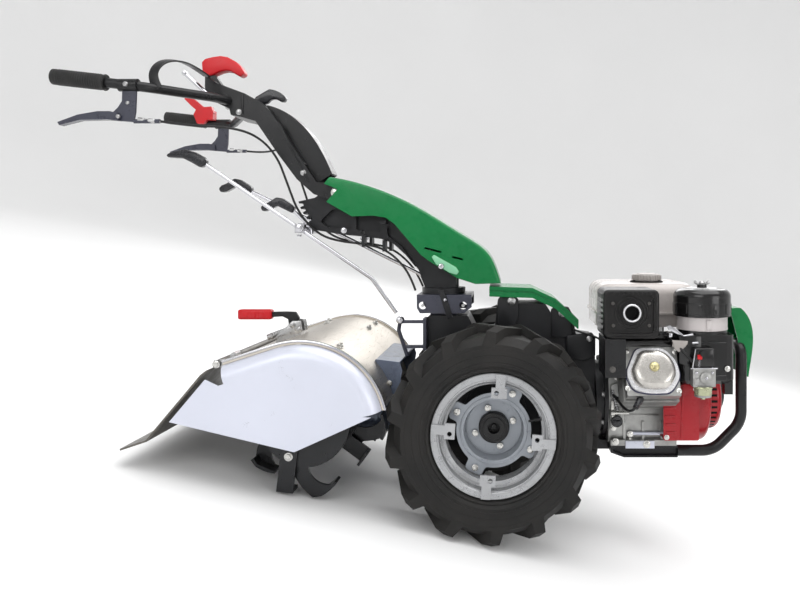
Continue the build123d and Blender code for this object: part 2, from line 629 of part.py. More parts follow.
def hood_band(outer_r, inner_r, y0, y1):
    """A sheet that follows the hood's section between two radii."""
    f0, m0, e0, t0 = hood_path(outer_r)
    f1, m1, e1, t1 = hood_path(inner_r)
    edges = [ThreePointArc(f0, m0, e0), Line(e0, t0), Line(t0, t1), Line(t1, e1), ThreePointArc(e1, m1, f1),
             Line(f1, f0)]
    return extrude(side_plane(y1) * make_face(Curve() + edges), amount=y1 - y0)


def hood_filled(radius):
    """Everything under the hood's face at a radius, to seat pieces on it."""
    f0, m0, e0, t0 = hood_path(radius)
    edges = [ThreePointArc(f0, m0, e0), Line(e0, t0), Line(t0, (t0[0], 0)), Line((t0[0], 0), (f0[0], 0)),
             Line((f0[0], 0), f0)]
    return extrude(side_plane(HOOD_HALF_W) * make_face(Curve() + edges), amount=2 * HOOD_HALF_W)


def hood():
    skin = hood_band(HOOD_R, HOOD_R - HOOD_T, -HOOD_HALF_W, HOOD_HALF_W)
    return skin + both_sides(hood_band(HOOD_R + HOOD_LIP, HOOD_R - 1, HOOD_HALF_W - 4, HOOD_HALF_W))


def cheek():
    """A side wall: a flat drawn panel whose upper edge is a wide round shoulder up to the hood."""
    r0, t = HOOD_R - HOOD_T, CHEEK_T
    y0 = -HOOD_HALF_W
    y1 = y0 - CHEEK_BULGE
    ex, ez = polar(0, 0, 1, HOOD_REAR_DEG)
    tail = hood_path(r0)[3]
    end = hood_path(r0)[2]

    def shoulder(r_out, out_y, thick):
        return [ThreePointArc((r_out, y0), (r_out - 0.25 * CHEEK_ROUND, y0 - 0.68 * CHEEK_BULGE),
                              (r_out - CHEEK_ROUND, out_y)),
                Line((r_out - CHEEK_ROUND, out_y), (r_out - CHEEK_ROUND, out_y + thick)),
                ThreePointArc((r_out - CHEEK_ROUND, out_y + thick),
                              (r_out - 0.25 * CHEEK_ROUND - 0.8 * thick, y0 - 0.68 * CHEEK_BULGE + 0.6 * thick),
                              (r_out - thick, y0)),
                Line((r_out - thick, y0), (r_out, y0))]
    profile = make_face(Curve() + shoulder(r0, y1, t))
    fx, fz = polar(0, 0, 1, HOOD_FRONT_DEG)
    start = Plane((ROTOR_X, 0, ROTOR_Z), x_dir=(fx, 0, fz), z_dir=(-fz, 0, fx))
    arc = revolve(start * profile, Axis((ROTOR_X, 0, ROTOR_Z), (0, -1, 0)), HOOD_REAR_DEG - HOOD_FRONT_DEG)
    stop = Plane((ROTOR_X, 0, ROTOR_Z), x_dir=(ex, 0, ez), z_dir=(-ez, 0, ex))
    straight = extrude(stop * profile, amount=math.hypot(tail[0] - end[0], tail[1] - end[1]))
    ri = r0 - CHEEK_ROUND
    f, m, e, q = hood_path(ri)
    edges = [ThreePointArc(f, m, e), Line(e, q), Line(q, CHEEK_REAR_TOP), Line(CHEEK_REAR_TOP, CHEEK_TIP),
             Line(CHEEK_TIP, CHEEK_BOTTOM), Line(CHEEK_BOTTOM, CHEEK_FRONT), Line(CHEEK_FRONT, f)]
    return arc + straight + extrude(side_plane(y1 + t) * make_face(Curve() + edges), amount=t)


CHEEK_REAR_TOP = (-652.0, 386.0)
CHEEK_FRONT = (-276.0, 300.0)


def flap_axis():
    x, z = hood_path(HOOD_R - HOOD_T / 2)[3]
    return x - HINGE_BACK, z


def flap():
    """The levelling flap behind the hood: one sheet, its knee over the cheeks and its lip turned out."""
    hx, hz = flap_axis()
    off = SWEEP_GAP + FLAP_T
    knee = (CHEEK_REAR_TOP[0] - off, CHEEK_REAR_TOP[1] + off * 0.6)
    run = (CHEEK_TIP[0] - CHEEK_REAR_TOP[0], CHEEK_TIP[1] - CHEEK_REAR_TOP[1])
    heel = (knee[0] + run[0] * 1.55, knee[1] + run[1] * 1.55)
    lip = (heel[0] - 60, heel[1] - 20)
    line = [(hx, hz - 3), knee, heel, lip]
    back = [(lip[0] - 1, lip[1] + FLAP_T), (heel[0] - 2, heel[1] + FLAP_T), (knee[0] - FLAP_T, knee[1] + 3),
            (hx, hz + 1)]
    half = HOOD_HALF_W + CHEEK_BULGE - 8
    sheet = side_plate(line + back, -half, half)
    sheet -= both_sides(cyl_y(hx, HOOD_HALF_W - HINGE_EAR_IN - SWEEP_GAP, half + 1, hz, HINGE_TUBE_R * 2))
    end = HOOD_HALF_W - HINGE_EAR_IN - SWEEP_GAP
    tube = cyl_y(hx, -end, end, hz, HINGE_TUBE_R)
    return tube + sheet - cyl_y(hx, -half - 1, half + 1, hz, HINGE_PIN_R + RUNNING_GAP)


def flap_hinge():
    """The hinge's pin with an ear at each end that is fixed under the hood's tail."""
    hx, hz = flap_axis()
    pin = cyl_y(hx, -HOOD_HALF_W + 4, HOOD_HALF_W - 4, hz, HINGE_PIN_R)
    ear = side_plate([(hx - 8, hz - 8), (hx - 8, hz + 8), (HINGE_X + 14, hz + 12), (HINGE_X + 14, hz - 6)],
                     HOOD_HALF_W - HINGE_EAR_IN, HOOD_HALF_W - HINGE_EAR_IN + 8)
    ear -= hood_band(HOOD_R, HOOD_R - HOOD_T, -HOOD_HALF_W - 1, HOOD_HALF_W + 1)
    return pin + both_sides(ear - hood_band(HOOD_R + 40, HOOD_R - 1, -HOOD_HALF_W - 1, HOOD_HALF_W + 1))


def tiller_case():
    """The drive from the tractor to the middle of the rotor, with a pillar up to the hood."""
    x, z, w = ROTOR_X, ROTOR_Z, TILLER_CASE_HALF_W
    body = [(x + 58, z + 66), (x + 120, z + 10), (x + 100, z - 92), (x + 40, z - 104), (x - 40, z - 84),
            (x - 66, z - 10), (x - 36, z + 66)]
    shape = side_plate(body, -w, w, 14)
    pillar = box(x - 24, x + 40, -w + 8, w - 8, z + 40, z + HOOD_R + 10)
    shape += pillar & hood_filled(HOOD_R - HOOD_T)
    shape += cyl_x(x + 70, CASE_BACK - 30, 0, DRIVE_Z, DRIVE_R)
    shape += cyl_x(CASE_BACK - 30, CASE_BACK, 0, DRIVE_Z, DRIVE_R + 14)
    for i in range(3):
        rib_x = x + 130 + i * 34
        shape += cyl_x(rib_x, rib_x + 8, 0, DRIVE_Z, DRIVE_R + 8)
    return shape - cyl_y(x, -w - 1, w + 1, z, ROTOR_SHAFT_R + RUNNING_GAP)


def tiller_bracket():
    """The folded plate across the front of the hood."""
    x0, z0 = polar(ROTOR_X, ROTOR_Z, HOOD_R, 42)
    x1, z1 = polar(ROTOR_X, ROTOR_Z, HOOD_R, 14)
    side = [(x0 - 12, z0 - 12), (x0 + 4, z0 + 3), (x0 + 62, z0 - 4), (x1 + 24, z0 - 26), (x1 + 14, z1), (x1 - 10, z1)]
    plates = side_plate(side, BRACKET_HALF_W - 6, BRACKET_HALF_W)
    top = side_plate([(x0 - 6, z0 - 3), (x0 + 4, z0 + 3), (x0 + 62, z0 - 4), (x0 + 62, z0 - 10)],
                     -BRACKET_HALF_W + 6, BRACKET_HALF_W - 6)
    seat = hood_filled(HOOD_R) + cyl_y(ROTOR_X, -HOOD_HALF_W, HOOD_HALF_W, ROTOR_Z, HOOD_R)
    return both_sides(plates) + top - seat


def depth_lever():
    """The clamp on the hood with the black lever that squeezes it."""
    x, z = DEPTH_X, DEPTH_Z
    base = side_plate([(x - 44, 425), (x - 30, z - 24), (x + 6, z + 6), (x + 22, z + 6), (x + 30, 440)], -86, -34)
    base -= hood_filled(HOOD_R)
    base -= box(x - 60, x + 60, -72, -50, z - 20, z + 10)
    arm = side_plate([(x - 10, z - 26), (x + 13, z - 26), (x + 14, z + 14), (x + 6, z + 27), (x - 20, z + 29),
                      (x - 64, z + 28), (x - 64, z + 15), (x - 28, z + 17), (x - 14, z + 10)], -66, -56)
    arm -= hood_filled(HOOD_R)
    link = cyl_y(x + 5, -92, -28, z - 2, 5) + rod([(x - 62, -60, z - 36), (x + 4, -60, z - 12)], 6)
    return base + arm + (link - hood_filled(HOOD_R))


def depth_lever_grip():
    return cyl_x(DEPTH_X - 143, DEPTH_X - 55, -61, DEPTH_Z + 22, DEPTH_GRIP_R) - depth_lever()


# Front cover over the gear case
FRONT_COVER = [(-14, 582), (98, 578), (158, 550), (217, 496)]


def front_cover():
    """The green cover over the gear case: a top skin with two stacked lips along its sides."""
    drop, half = 26.0, 78.0
    under = [(x, z - drop) for x, z in reversed(FRONT_COVER)]
    solid = side_plate(FRONT_COVER + under, -half, half, 2)
    inside = [(x + (-30 if i == 0 else 0), z - COVER_T) for i, (x, z) in enumerate(FRONT_COVER)]
    inside = inside[:-1] + [(FRONT_COVER[-1][0] + 20, FRONT_COVER[-1][1] - 24)]
    low = [(FRONT_COVER[-1][0] + 20, 400), (FRONT_COVER[0][0] - 30, 400)]
    hollow = side_plate(inside + low, -half + COVER_T, half - COVER_T)
    groove = [(x + (-2 if i == 0 else 0), z - 9) for i, (x, z) in enumerate(FRONT_COVER)]
    groove += [(x + (-2 if i == 3 else 0), z - 13) for i, (x, z) in enumerate(reversed(FRONT_COVER))]
    return solid - hollow - both_sides(side_plate(groove, half - 2.5, half + 1))


# Steering column
def column_base():
    """The channel on the gear case that the column turns on, and the rod bracket behind it."""
    z0, z1 = BASE_TOP_Z - BASE_T, BASE_TOP_Z
    shape = box(BASE_BACK + 32, BASE_FRONT - 40, -40, 40, CASE_TOP, z0)
    shape += box(BASE_BACK, BASE_FRONT, -BASE_HALF_W, BASE_HALF_W, z0, z1)
    side = [(BASE_BACK, z0), (BASE_BACK, z0 - 26), (BASE_BACK + 8, z0 - 40), (BASE_FRONT - 20, z0 - 40),
            (BASE_FRONT, z0 - 24), (BASE_FRONT, z0)]
    wall = side_plate(side, -BASE_HALF_W, -BASE_HALF_W + 6)
    for x in (BASE_BACK + 15, BASE_FRONT - 22):
        wall -= cyl_y(x, -BASE_HALF_W - 1, -BASE_HALF_W + 7, z0 - 20, BASE_HOLE_R)
    shape += both_sides(wall)
    y0, y1 = ROD_Y - 6, ROD_Y + 6
    strap = box(CASE_BACK - 8, CASE_BACK, y0, -40, 418, 500)
    bars = box(BALL_AT[0], CASE_BACK - 8, y0, y1, BALL_AT[1] - 8, BALL_AT[1])
    bars += box(BALL_AT[0] + 14, CASE_BACK - 8, y0, y1, 424, 432)
    ball = Pos(BALL_AT[0], ROD_Y, BALL_AT[1]) * Sphere(BALL_R)
    link = rod([(BALL_AT[0], ROD_Y, BALL_AT[1]), (BALL_AT[0] - 4, ROD_Y, BALL_AT[1] - 26),
                (BALL_AT[0] + 18, ROD_Y, 404)], ROD_R)
    return shape + strap + bars + ball + link


ARM_TOP = [(-100, 620), (-128, 655), (-166, 668), (-212, 700), (-247, 744), (-300, 768), (-360, 800)]
ARM_UNDER = [(-499, 744), (-471, 728), (-402, 716), (-355, 712), (-301, 705), (-270, 694), (-235, 662), (-204, 624),
             (-184, 576)]


def column_arm():
    """The casting from the turntable up to the tilt pin, pocketed on both sides, with its toothed end."""
    x, z = TILT_X, TILT_Z
    z0 = BASE_TOP_Z + SWIVEL_GAP
    shape = cyl_z(SWIVEL_X, 0, z0, z0 + TURNTABLE_T, TURNTABLE_R)
    shape += cyl_z(SWIVEL_X + 16, 0, z0, 640, POST_R)
    teeth = []
    first, last = 192.0, 226.0
    step = (last - first) / SECTOR_TEETH
    for i in range(SECTOR_TEETH):
        teeth += [polar(x, z, SECTOR_R + SECTOR_TOOTH, first + i * step),
                  polar(x, z, SECTOR_R + SECTOR_TOOTH, first + (i + 0.35) * step),
                  polar(x, z, SECTOR_R, first + (i + 0.5) * step), polar(x, z, SECTOR_R, first + (i + 0.95) * step)]
    side = [(x + 24, z + 8), (x, z + 26), (x - 26, z + 14), (x - 60, z - 12)] + teeth + ARM_UNDER
    side += [(SWIVEL_X + 2, z0 + TURNTABLE_T), (SWIVEL_X + 34, z0 + TURNTABLE_T)] + ARM_TOP
    shape += side_plate(side, -ARM_HALF_W, ARM_HALF_W)
    pocket = side_plate([(-196, 600), (-176, 640), (-222, 686), (-256, 726), (-286, 740), (-282, 712), (-246, 684),
                         (-214, 640)], -ARM_HALF_W - 1, -ARM_HALF_W + POCKET_DEPTH, 5)
    pocket += side_plate([(-300, 724), (-300, 756), (-366, 786), (-366, 728)],
                         -ARM_HALF_W - 1, -ARM_HALF_W + POCKET_DEPTH, 6)
    pocket += side_plate([(-378, 730), (-378, 786), (-430, 782), (-462, 752), (-440, 736)],
                         -ARM_HALF_W - 1, -ARM_HALF_W + POCKET_DEPTH, 6)
    shape -= both_sides(pocket)
    shape -= cyl_y(-348, -ARM_HALF_W - 1, ARM_HALF_W + 1, 722, 5)
    return shape - cyl_y(x, -ARM_HALF_W - 1, ARM_HALF_W + 1, z, TILT_PIN_R + RUNNING_GAP)


COVER_TOP = [(-428, 866), (-352, 850), (-216, 796), (-71, 709), (-18, 669), (2, 632), (16, 590)]
COVER_BOTTOM = [(-50, 588), (-96, 603), (-168, 646), (-192, 664), (-232, 711), (-260, 744), (-283, 760),
                (-314, 765), (-370, 763), (-436, 801), (-407, 834), (-442, 848)]


def cover_edge(points, close):
    """A smooth upper edge through its points, closed by straight runs below."""
    top = Spline(*points)
    return make_face(Curve() + [top, Polyline(points[-1], *close, points[0])])


def column_cover():
    """The green moulded cover over the column: open below, its rear end forked round the handlebars."""
    w, t = COVER_HALF_W, COVER_T
    shell = extrude(side_plane(w) * cover_edge(COVER_TOP, COVER_BOTTOM), amount=2 * w)
    shoulders = [e for e in shell.edges() if e.geom_type == GeomType.BSPLINE]
    shell = fillet(shoulders, 10)
    inner_top = [(x - t * 0.6, z - t * 1.3) for x, z in COVER_TOP]
    inside = extrude(side_plane(w - t) * cover_edge(inner_top, [(inner_top[-1][0], 480), (-480, 480), (-480, 850)]),
                     amount=2 * (w - t))
    shell -= inside
    shell -= box(-480, TILT_X + 36, -BEAM_HALF_W - SWEEP_GAP, BEAM_HALF_W + SWEEP_GAP, 780, 900)
    for x, z, length in ((-160, 676, 44), (-96, 655, 28)):
        vent = Pos(x, -w, z) * Rot(0, 14, 0) * Box(length, 3 * t, 5)
        shell -= both_sides(vent)
    return shell


def cover_brackets():
    """Two cross bars that carry the cover on the arm."""
    reach = COVER_HALF_W - COVER_T
    bars = [box(x - 8, x + 8, ARM_HALF_W, reach, z - 4, z + 4) for x, z in ((-290, 748), (-400, 796))]
    return both_sides(bars[0]) + both_sides(bars[1])


LOWER_CABLE = [
    (-530, -CABLE_Y - 4, 826), (-516, -CABLE_Y, 786), (-492, -CABLE_Y + 6, 748), (-452, -CABLE_Y + 8, 712),
    (-400, -CABLE_Y + 8, 698), (-342, -CABLE_Y + 8, 692), (-290, -CABLE_Y + 6, 680), (-248, -CABLE_Y, 648),
    (-218, -CABLE_Y - 8, 608), (-204, -CABLE_Y - 16, 572),
]


def cable_clips():
    """Two drilled tabs under each side of the arm that hold the brake cables."""
    route = cable(LOWER_CABLE, CABLE_R + SEAT_GAP)
    tabs = [box(x - 4, x + 4, -CABLE_Y - 2, -ARM_HALF_W, z - 8, z + 22) for x, z in ((-342, 692), (-288, 680))]
    return both_sides(tabs[0] - route) + both_sides(tabs[1] - route)


def gear_rods():
    """Three shift rods with the guide below the toothed end."""
    near = rod([KNOB_NEAR, (-316, ROD_Y, 603), (-253, ROD_Y, 514)], ROD_R, 30)
    middle = rod([KNOB_MIDDLE, (-415, ROD_Y_FAR, 712), (-210, ROD_Y_FAR, 610), (-188, ROD_Y_FAR, 592)], ROD_R, 30)
    far = rod([KNOB_FAR, (-502, 0, 740)], ROD_R)
    guide = box(-520, -488, -ARM_HALF_W, ROD_Y_FAR + 8, 720, 746)
    guide += cyl_y(-500, ROD_Y - 12, -ARM_HALF_W, 732, 8) + box(-512, -488, ROD_Y - 10, ROD_Y + 10, 720, 742)
    stop = box(-200, -180, ARM_HALF_W, ROD_Y_FAR + 8, 588, 604)
    return near + middle + far + (guide - column_arm()) + (stop - column_arm())


def gear_knobs():
    """The moulded handles of the three rods, each raised to a hooked nose."""
    raised = [(4, 2), (3, 16), (-26, 31), (-50, 38), (-71, 34), (-92, 27), (-98, 21), (-76, 16), (-56, 16), (-32, 3),
              (-10, -9)]
    low = [(4, 2), (2, 14), (-26, 32), (-44, 35), (-66, 20), (-78, 17), (-86, 8), (-82, -1), (-70, -2), (-42, 12),
           (-22, 2), (0, -9)]
    knobs = Part()
    for (x, y, z), shape in ((KNOB_NEAR, raised), (KNOB_MIDDLE, low), (KNOB_FAR, low)):
        knobs += side_plate([(x + px, z + pz) for px, pz in shape], y - 11, y + 11)
    return knobs - gear_rods()


# Handlebars
BEAM_OUTLINE = [
    (-466, 853), (-525, 942), (-569, 1013), (-589, 1041), (-609, 1061), (-653, 1085), (-729, 1113), (-749, 1129),
    (-757, 1105), (-750, 1072), (-693, 1045), (-689, 1029), (-669, 1025), (-625, 1013), (-565, 925), (-517, 861),
    (-473, 822),
]


def console_filled():
    """The beam without its hollow, to cut its neighbours."""
    return side_plate(BEAM_OUTLINE, -BEAM_HALF_W, BEAM_HALF_W)


def console():
    """The handlebars' folded sheet beam: a closed box above, two plates astride the arm below."""
    w, t = BEAM_HALF_W, BEAM_WALL
    x, z = TILT_X, TILT_Z
    body = side_plate(BEAM_OUTLINE, -w, w)
    ears = side_plate([(-466, 853), (x, z + 25), (x, z - 25), (-473, 822)], -w, w) + cyl_y(x, -w, w, z, 25)
    shape = body + ears
    inside = side_face(BEAM_OUTLINE, w - t)
    inside = extrude(offset(inside, -t, kind=Kind.INTERSECTION), amount=2 * (w - t))
    shape -= inside
    shape -= box(-560, x + 40, -w + t, w - t, z - 40, 905)
    shape += cyl_y(x, -w, w, z, TILT_PIN_R)
    return shape


def console_back():
    """The curved cover behind the beam, from the console down to the tilt pin."""
    outer = [(-604, 1060), (-535, 1028), (-486, 978), (-456, 930), (-432, 878)]
    inner = [(x - 4, z - 3) for x, z in outer]

    def filled(points, half):
        curve = Spline(*points)
        low = [points[-1], (points[-1][0] - 60, points[-1][1] - 40), (points[0][0] - 80, points[0][1] - 90), points[0]]
        return extrude(side_plane(half) * make_face(Curve() + [curve, Polyline(*low)]), amount=2 * half)
    shape = filled(outer, 30) - filled(inner, 27) - console_filled()
    return Part() + max(shape.solids(), key=lambda solid: solid.volume)


def handle_tubes():
    start = (GRIP_END[0] + 6, -GRIP_Y, GRIP_END[1] - 6 * GRIP_SLOPE)
    near = rod([start, (TUBE_BEND[0], -GRIP_Y, TUBE_BEND[1]), (-716, -112, 1064), (-690, -40, 1066)], TUBE_R,
               [60, 60])
    clamp = Pos(TUBE_BEND[0] - 30, -GRIP_Y, TUBE_BEND[1] + 30 * GRIP_SLOPE) * Rot(0, 90, 0) * Cylinder(TUBE_R + 3, 44)
    tube = near + clamp
    return both_sides(tube - box(-760, -600, -BEAM_HALF_W, BEAM_HALF_W, 900, 1200))


def grips():
    axis = Plane((GRIP_END[0], -GRIP_Y, GRIP_END[1]), z_dir=(1, 0, -GRIP_SLOPE))
    shape = Pos(0, 0, GRIP_LEN / 2) * Cylinder(GRIP_R, GRIP_LEN)
    bore_from = 6 * math.hypot(1, GRIP_SLOPE)
    shape -= Pos(0, 0, bore_from + GRIP_LEN / 2) * Cylinder(TUBE_R, GRIP_LEN)
    return both_sides(axis * shape)


def brake_levers():
    x, z, y = TUBE_BEND[0], TUBE_BEND[1], -GRIP_Y
    plate = side_plate([(x - 44, z - 4), (x - 12, z - 6), (x - 14, z - 58), (x - 18, z - 82), (x - 70, z - 78),
                        (x - 66, z - 60), (x - 54, z - 48), (x - 45, z - 34)], y - 3, y + 3)
    blade = side_plate([(x - 50, z - 79), (x - 74, z - 77), (x - 138, z - 78), (x - 186, z - 90), (x - 190, z - 83),
                        (x - 144, z - 66), (x - 98, z - 58), (x - 70, z - 58), (x - 52, z - 62)], y - 9, y + 9)
    stub = Pos(x + 12, y, z - 80) * Rot(0, 90, 0) * Cylinder(5, 60)
    return both_sides(plate + blade + stub) - handle_tubes()


def stop_lever():
    """The red thumb lever beside the left grip."""
    side = [(-950, 1134), (-917, 1130), (-889, 1106), (-865, 1108), (-858, 1089), (-889, 1056), (-908, 1056),
            (-919, 1084), (-912, 1098), (-926, 1110)]
    y0, y1 = GRIP_Y - GRIP_R - 14, GRIP_Y - GRIP_R - SEAT_GAP
    base = box(-886, -860, y0, GRIP_Y - 4, 1068, 1096) - handle_tubes()
    return side_plate(side, y0, y1, 2) + base


def bail_bar():
    """The bent bar across from the right tube to the console."""
    y0 = -GRIP_Y + 22
    route = [(-786, y0, 1058), (-792, y0 + 6, 1106), (-784, -190, 1134), (-770, -130, 1140), (-752, -52, 1128)]
    return rod(route, 6, [12, 24, 40]) - handle_tubes() - console_filled()


def hook_handle():
    """The red moulded handle on top of the console."""
    edges = [(-784, 1176), (-735, 1194), (-708, 1189), (-679, 1164), (-672, 1146), (-688, 1140), (-708, 1153),
             (-733, 1153), (-754, 1143), (-780, 1144)]
    return side_plate(edges, -15, 15, 4)


def hook_stem():
    return side_plate([(-778, 1100), (-778, 1146), (-752, 1146), (-728, 1110)], -10, 10)


def hook_lever():
    """The black hooked lever on the beam."""
    edges = [(-650, 1078), (-642, 1086), (-606, 1107), (-580, 1100), (-562, 1086), (-567, 1074), (-585, 1079),
             (-601, 1081), (-612, 1066), (-640, 1062)]
    return side_plate(edges, -9, 9) - console_filled()


def cables():
    """The brake cables: the part held on the handlebars and the part clipped under the arm."""
    x, z = TUBE_BEND[0] + 42, TUBE_BEND[1] - 80
    upper = [(x, -GRIP_Y, z), (x + 32, -262, z - 4), (x + 78, -240, z - 6), (x + 122, -206, z - 2), (-604, -160, 968),
             (-575, -116, 944), (-556, -84, 906), (-545, -72, 868)]
    return both_sides(cable(upper, CABLE_R)) - brake_levers(), both_sides(cable(LOWER_CABLE, CABLE_R))


def cable(points, radius):
    """A cable along its route, every bend as wide as its two runs allow."""
    radii = []
    for before, at, after in zip(points, points[1:], points[2:]):
        one, two = Vector(*at) - Vector(*before), Vector(*after) - Vector(*at)
        turn = math.radians(one.get_angle(two))
        radii.append(0.45 * min(one.length, two.length) / math.tan(turn / 2))
    print("cable bends, mm:", [round(r) for r in radii])
    return rod(points, radius, radii)


# Parked lean: the outer hoes' corner and belly come down to the floor.
def hoe_contact():
    """The lowest edge of an outer pair of hoes: its slope as an angle, and its distance from the shaft."""
    dx, dz = HOE_END[0] - HOE_BOLT[0], HOE_END[1] - HOE_BOLT[1]
    length = math.hypot(dx, dz)
    corner = (HOE_END[0] + dz / length * HOE_W / 2, HOE_END[1] - dx / length * HOE_W / 2)
    slope = math.atan2(-ROTOR_R - corner[1], -corner[0])
    return slope, ROTOR_R * math.cos(slope)


def parked_lean():
    """The lean about the axle that lowers the hoes to the floor, in degrees."""
    back, up = -ROTOR_X, ROTOR_Z - AXLE_Z
    drop = AXLE_Z - hoe_contact()[1]
    return math.degrees(math.asin(drop / math.hypot(back, up)) + math.atan2(up, back))


LEAN = parked_lean()
ROTOR_PHASE = -LEAN - math.degrees(hoe_contact()[0])


def lean_back(shape):
    return Pos(0, 0, AXLE_Z) * Rot(0, -LEAN, 0) * Pos(0, 0, -AXLE_Z) * shape


def build_wheels():
    pieces = {}
    one_tyre, one_rim, one_disc, one_hub = tyre(), rim(), wheel_disc(), hub()
    for side, name in ((-1, "right"), (1, "left")):
        pieces["tyre_" + name] = about_axle(one_tyre, side)
        pieces["rim_" + name] = about_axle(one_rim, side)
        pieces["wheel_disc_" + name] = about_axle(one_disc, side)
        pieces["hub_" + name] = about_axle(one_hub, side)
    return pieces


def build_body():
    right_cheek = cheek()
    upper, lower = cables()
    return {
        "gear_case": gear_case(), "clutch_housing": clutch_housing(), "crankcase": crankcase(),
        "cylinder": cylinder(), "valve_cover": valve_cover(), "fuel_tank": fuel_tank(), "tank_cap": tank_cap(),
        "engine_brackets": engine_brackets(), "muffler": muffler(), "air_cleaner_base": air_cleaner_base(),
        "air_cleaner_band": air_cleaner_band(), "air_cleaner_cap": air_cleaner_cap(),
        "carburettor": carburettor(), "fan_shroud": fan_shroud(), "front_shield": front_shield(),
        "engine_plate": engine_plate(), "bumper": bumper(), "front_cover": front_cover(),
        "column_base": column_base(), "tiller_hood": hood(), "tiller_cheek_right": right_cheek,
        "tiller_cheek_left": mirror(right_cheek, Plane.XZ), "tiller_case": tiller_case(),
        "tiller_bracket": tiller_bracket(), "tiller_rotor": rotor(), "rear_flap": flap(),
        "flap_hinge": flap_hinge(), "depth_lever": depth_lever(), "depth_lever_grip": depth_lever_grip(),
        "column_arm": column_arm() + cover_brackets() + cable_clips(), "column_cover": column_cover(), "gear_rods": gear_rods(),
        "gear_knobs": gear_knobs(), "console": console() + (hook_stem() - console() - hook_handle()), "console_back": console_back(),
        "handle_tubes": handle_tubes(), "grips": grips(), "brake_levers": brake_levers(),
        "stop_lever": stop_lever(), "bail_bar": bail_bar(), "hook_handle": hook_handle(),
        "hook_lever": hook_lever(), "cables_upper": upper, "cables_lower": lower,
    }


def main():
    placed = {name: lean_back(shape) for name, shape in build_body().items()}
    placed.update(build_wheels())
    boxes = [shape.bounding_box() for shape in placed.values()]
    middle = (min(b.min.X for b in boxes) + max(b.max.X for b in boxes)) / 2
    print(f"lean {LEAN:.3f} deg, axle at x {-middle:.2f} z {AXLE_Z}")
    for name, shape in placed.items():
        export_step(Pos(-middle, 0, 0) * shape, f"parts/{name}.step")


if __name__ == "__main__":
    main()
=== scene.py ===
import json
from math import atan2, cos, pi, radians, sin, sqrt, tan

import bmesh
import bpy
from mathutils import Matrix, Vector


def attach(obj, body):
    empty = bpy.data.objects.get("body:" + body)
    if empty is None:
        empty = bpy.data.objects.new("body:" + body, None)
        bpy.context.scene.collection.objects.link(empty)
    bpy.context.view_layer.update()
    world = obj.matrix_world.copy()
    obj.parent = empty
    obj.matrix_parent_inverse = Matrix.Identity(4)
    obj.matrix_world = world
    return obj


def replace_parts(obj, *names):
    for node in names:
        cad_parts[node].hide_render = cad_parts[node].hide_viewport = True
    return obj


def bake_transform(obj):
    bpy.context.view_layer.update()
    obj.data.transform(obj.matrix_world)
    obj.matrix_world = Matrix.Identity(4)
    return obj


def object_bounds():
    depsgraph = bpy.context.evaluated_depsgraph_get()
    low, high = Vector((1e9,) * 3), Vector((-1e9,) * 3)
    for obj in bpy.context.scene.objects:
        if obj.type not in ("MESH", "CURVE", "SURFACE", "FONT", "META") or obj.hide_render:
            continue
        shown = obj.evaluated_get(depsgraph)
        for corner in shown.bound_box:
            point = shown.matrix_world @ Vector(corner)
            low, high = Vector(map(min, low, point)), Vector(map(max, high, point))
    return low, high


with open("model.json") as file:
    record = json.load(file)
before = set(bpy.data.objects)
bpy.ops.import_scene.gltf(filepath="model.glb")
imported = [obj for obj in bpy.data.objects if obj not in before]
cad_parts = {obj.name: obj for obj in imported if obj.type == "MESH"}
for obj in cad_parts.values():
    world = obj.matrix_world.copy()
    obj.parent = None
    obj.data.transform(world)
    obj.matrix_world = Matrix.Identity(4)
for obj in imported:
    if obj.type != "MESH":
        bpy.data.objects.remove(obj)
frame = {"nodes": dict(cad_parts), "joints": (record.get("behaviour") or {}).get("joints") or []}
cad_low, cad_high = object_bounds()

# The machine is stored leaned back about its axle. Pieces are drawn level in millimetres, then leaned.
JOINTS = {j["name"]: j for j in frame["joints"]}
AXLE = Vector(JOINTS["wheel_right_spin"]["pos_m"])
HALF_TRACK = abs(AXLE.y)
SWIVEL_AXIS = JOINTS["column_swivel"]["axis"]
LEAN = atan2(-SWIVEL_AXIS[0], SWIVEL_AXIS[2])
MILLIMETRES = Matrix.Scale(0.001, 4)
LEVEL_M = (Matrix.Translation((AXLE.x, 0, AXLE.z)) @ Matrix.Rotation(-LEAN, 4, "Y")
           @ Matrix.Translation((0, 0, -AXLE.z)))
LEVEL = LEVEL_M @ MILLIMETRES
# The ways that faces look, and their mirror image. The camera stands on the machine's right.
RIGHT, LEFT, FORWARD, UPWARD = (0, -1, 0), (0, 1, 0), (1, 0, 0), (0, 0, 1)
MIRROR = Matrix.Scale(-1, 4, LEFT)
UNMOVED = Matrix.Identity(4)
SMOOTH_UP_TO = radians(35)


def new_object(name, data):
    made = bpy.data.objects.new(name, data)
    bpy.context.scene.collection.objects.link(made)
    return made


def shift(x, y, z):
    return Matrix.Translation((x, y, z))


def smooth(mesh):
    mesh.polygons.foreach_set("use_smooth", [True] * len(mesh.polygons))


# Camera at the photograph's place, upright for the level machine.
CAMERA_AT = (0.0262, -1.887, 0.700)
FOCAL_LENGTH, SENSOR_WIDTH = 31.5, 36
SHIFT_X, SHIFT_Y = -0.131, -0.074


def make_camera():
    lens = bpy.data.cameras.new("camera")
    lens.lens, lens.sensor_width = FOCAL_LENGTH, SENSOR_WIDTH
    lens.shift_x, lens.shift_y = SHIFT_X, SHIFT_Y
    lens.clip_end = 60
    camera = new_object("camera", lens)
    camera.matrix_world = LEVEL_M @ Matrix.Translation(CAMERA_AT) @ Matrix.Rotation(pi / 2, 4, "X")
    bpy.context.scene.camera = camera


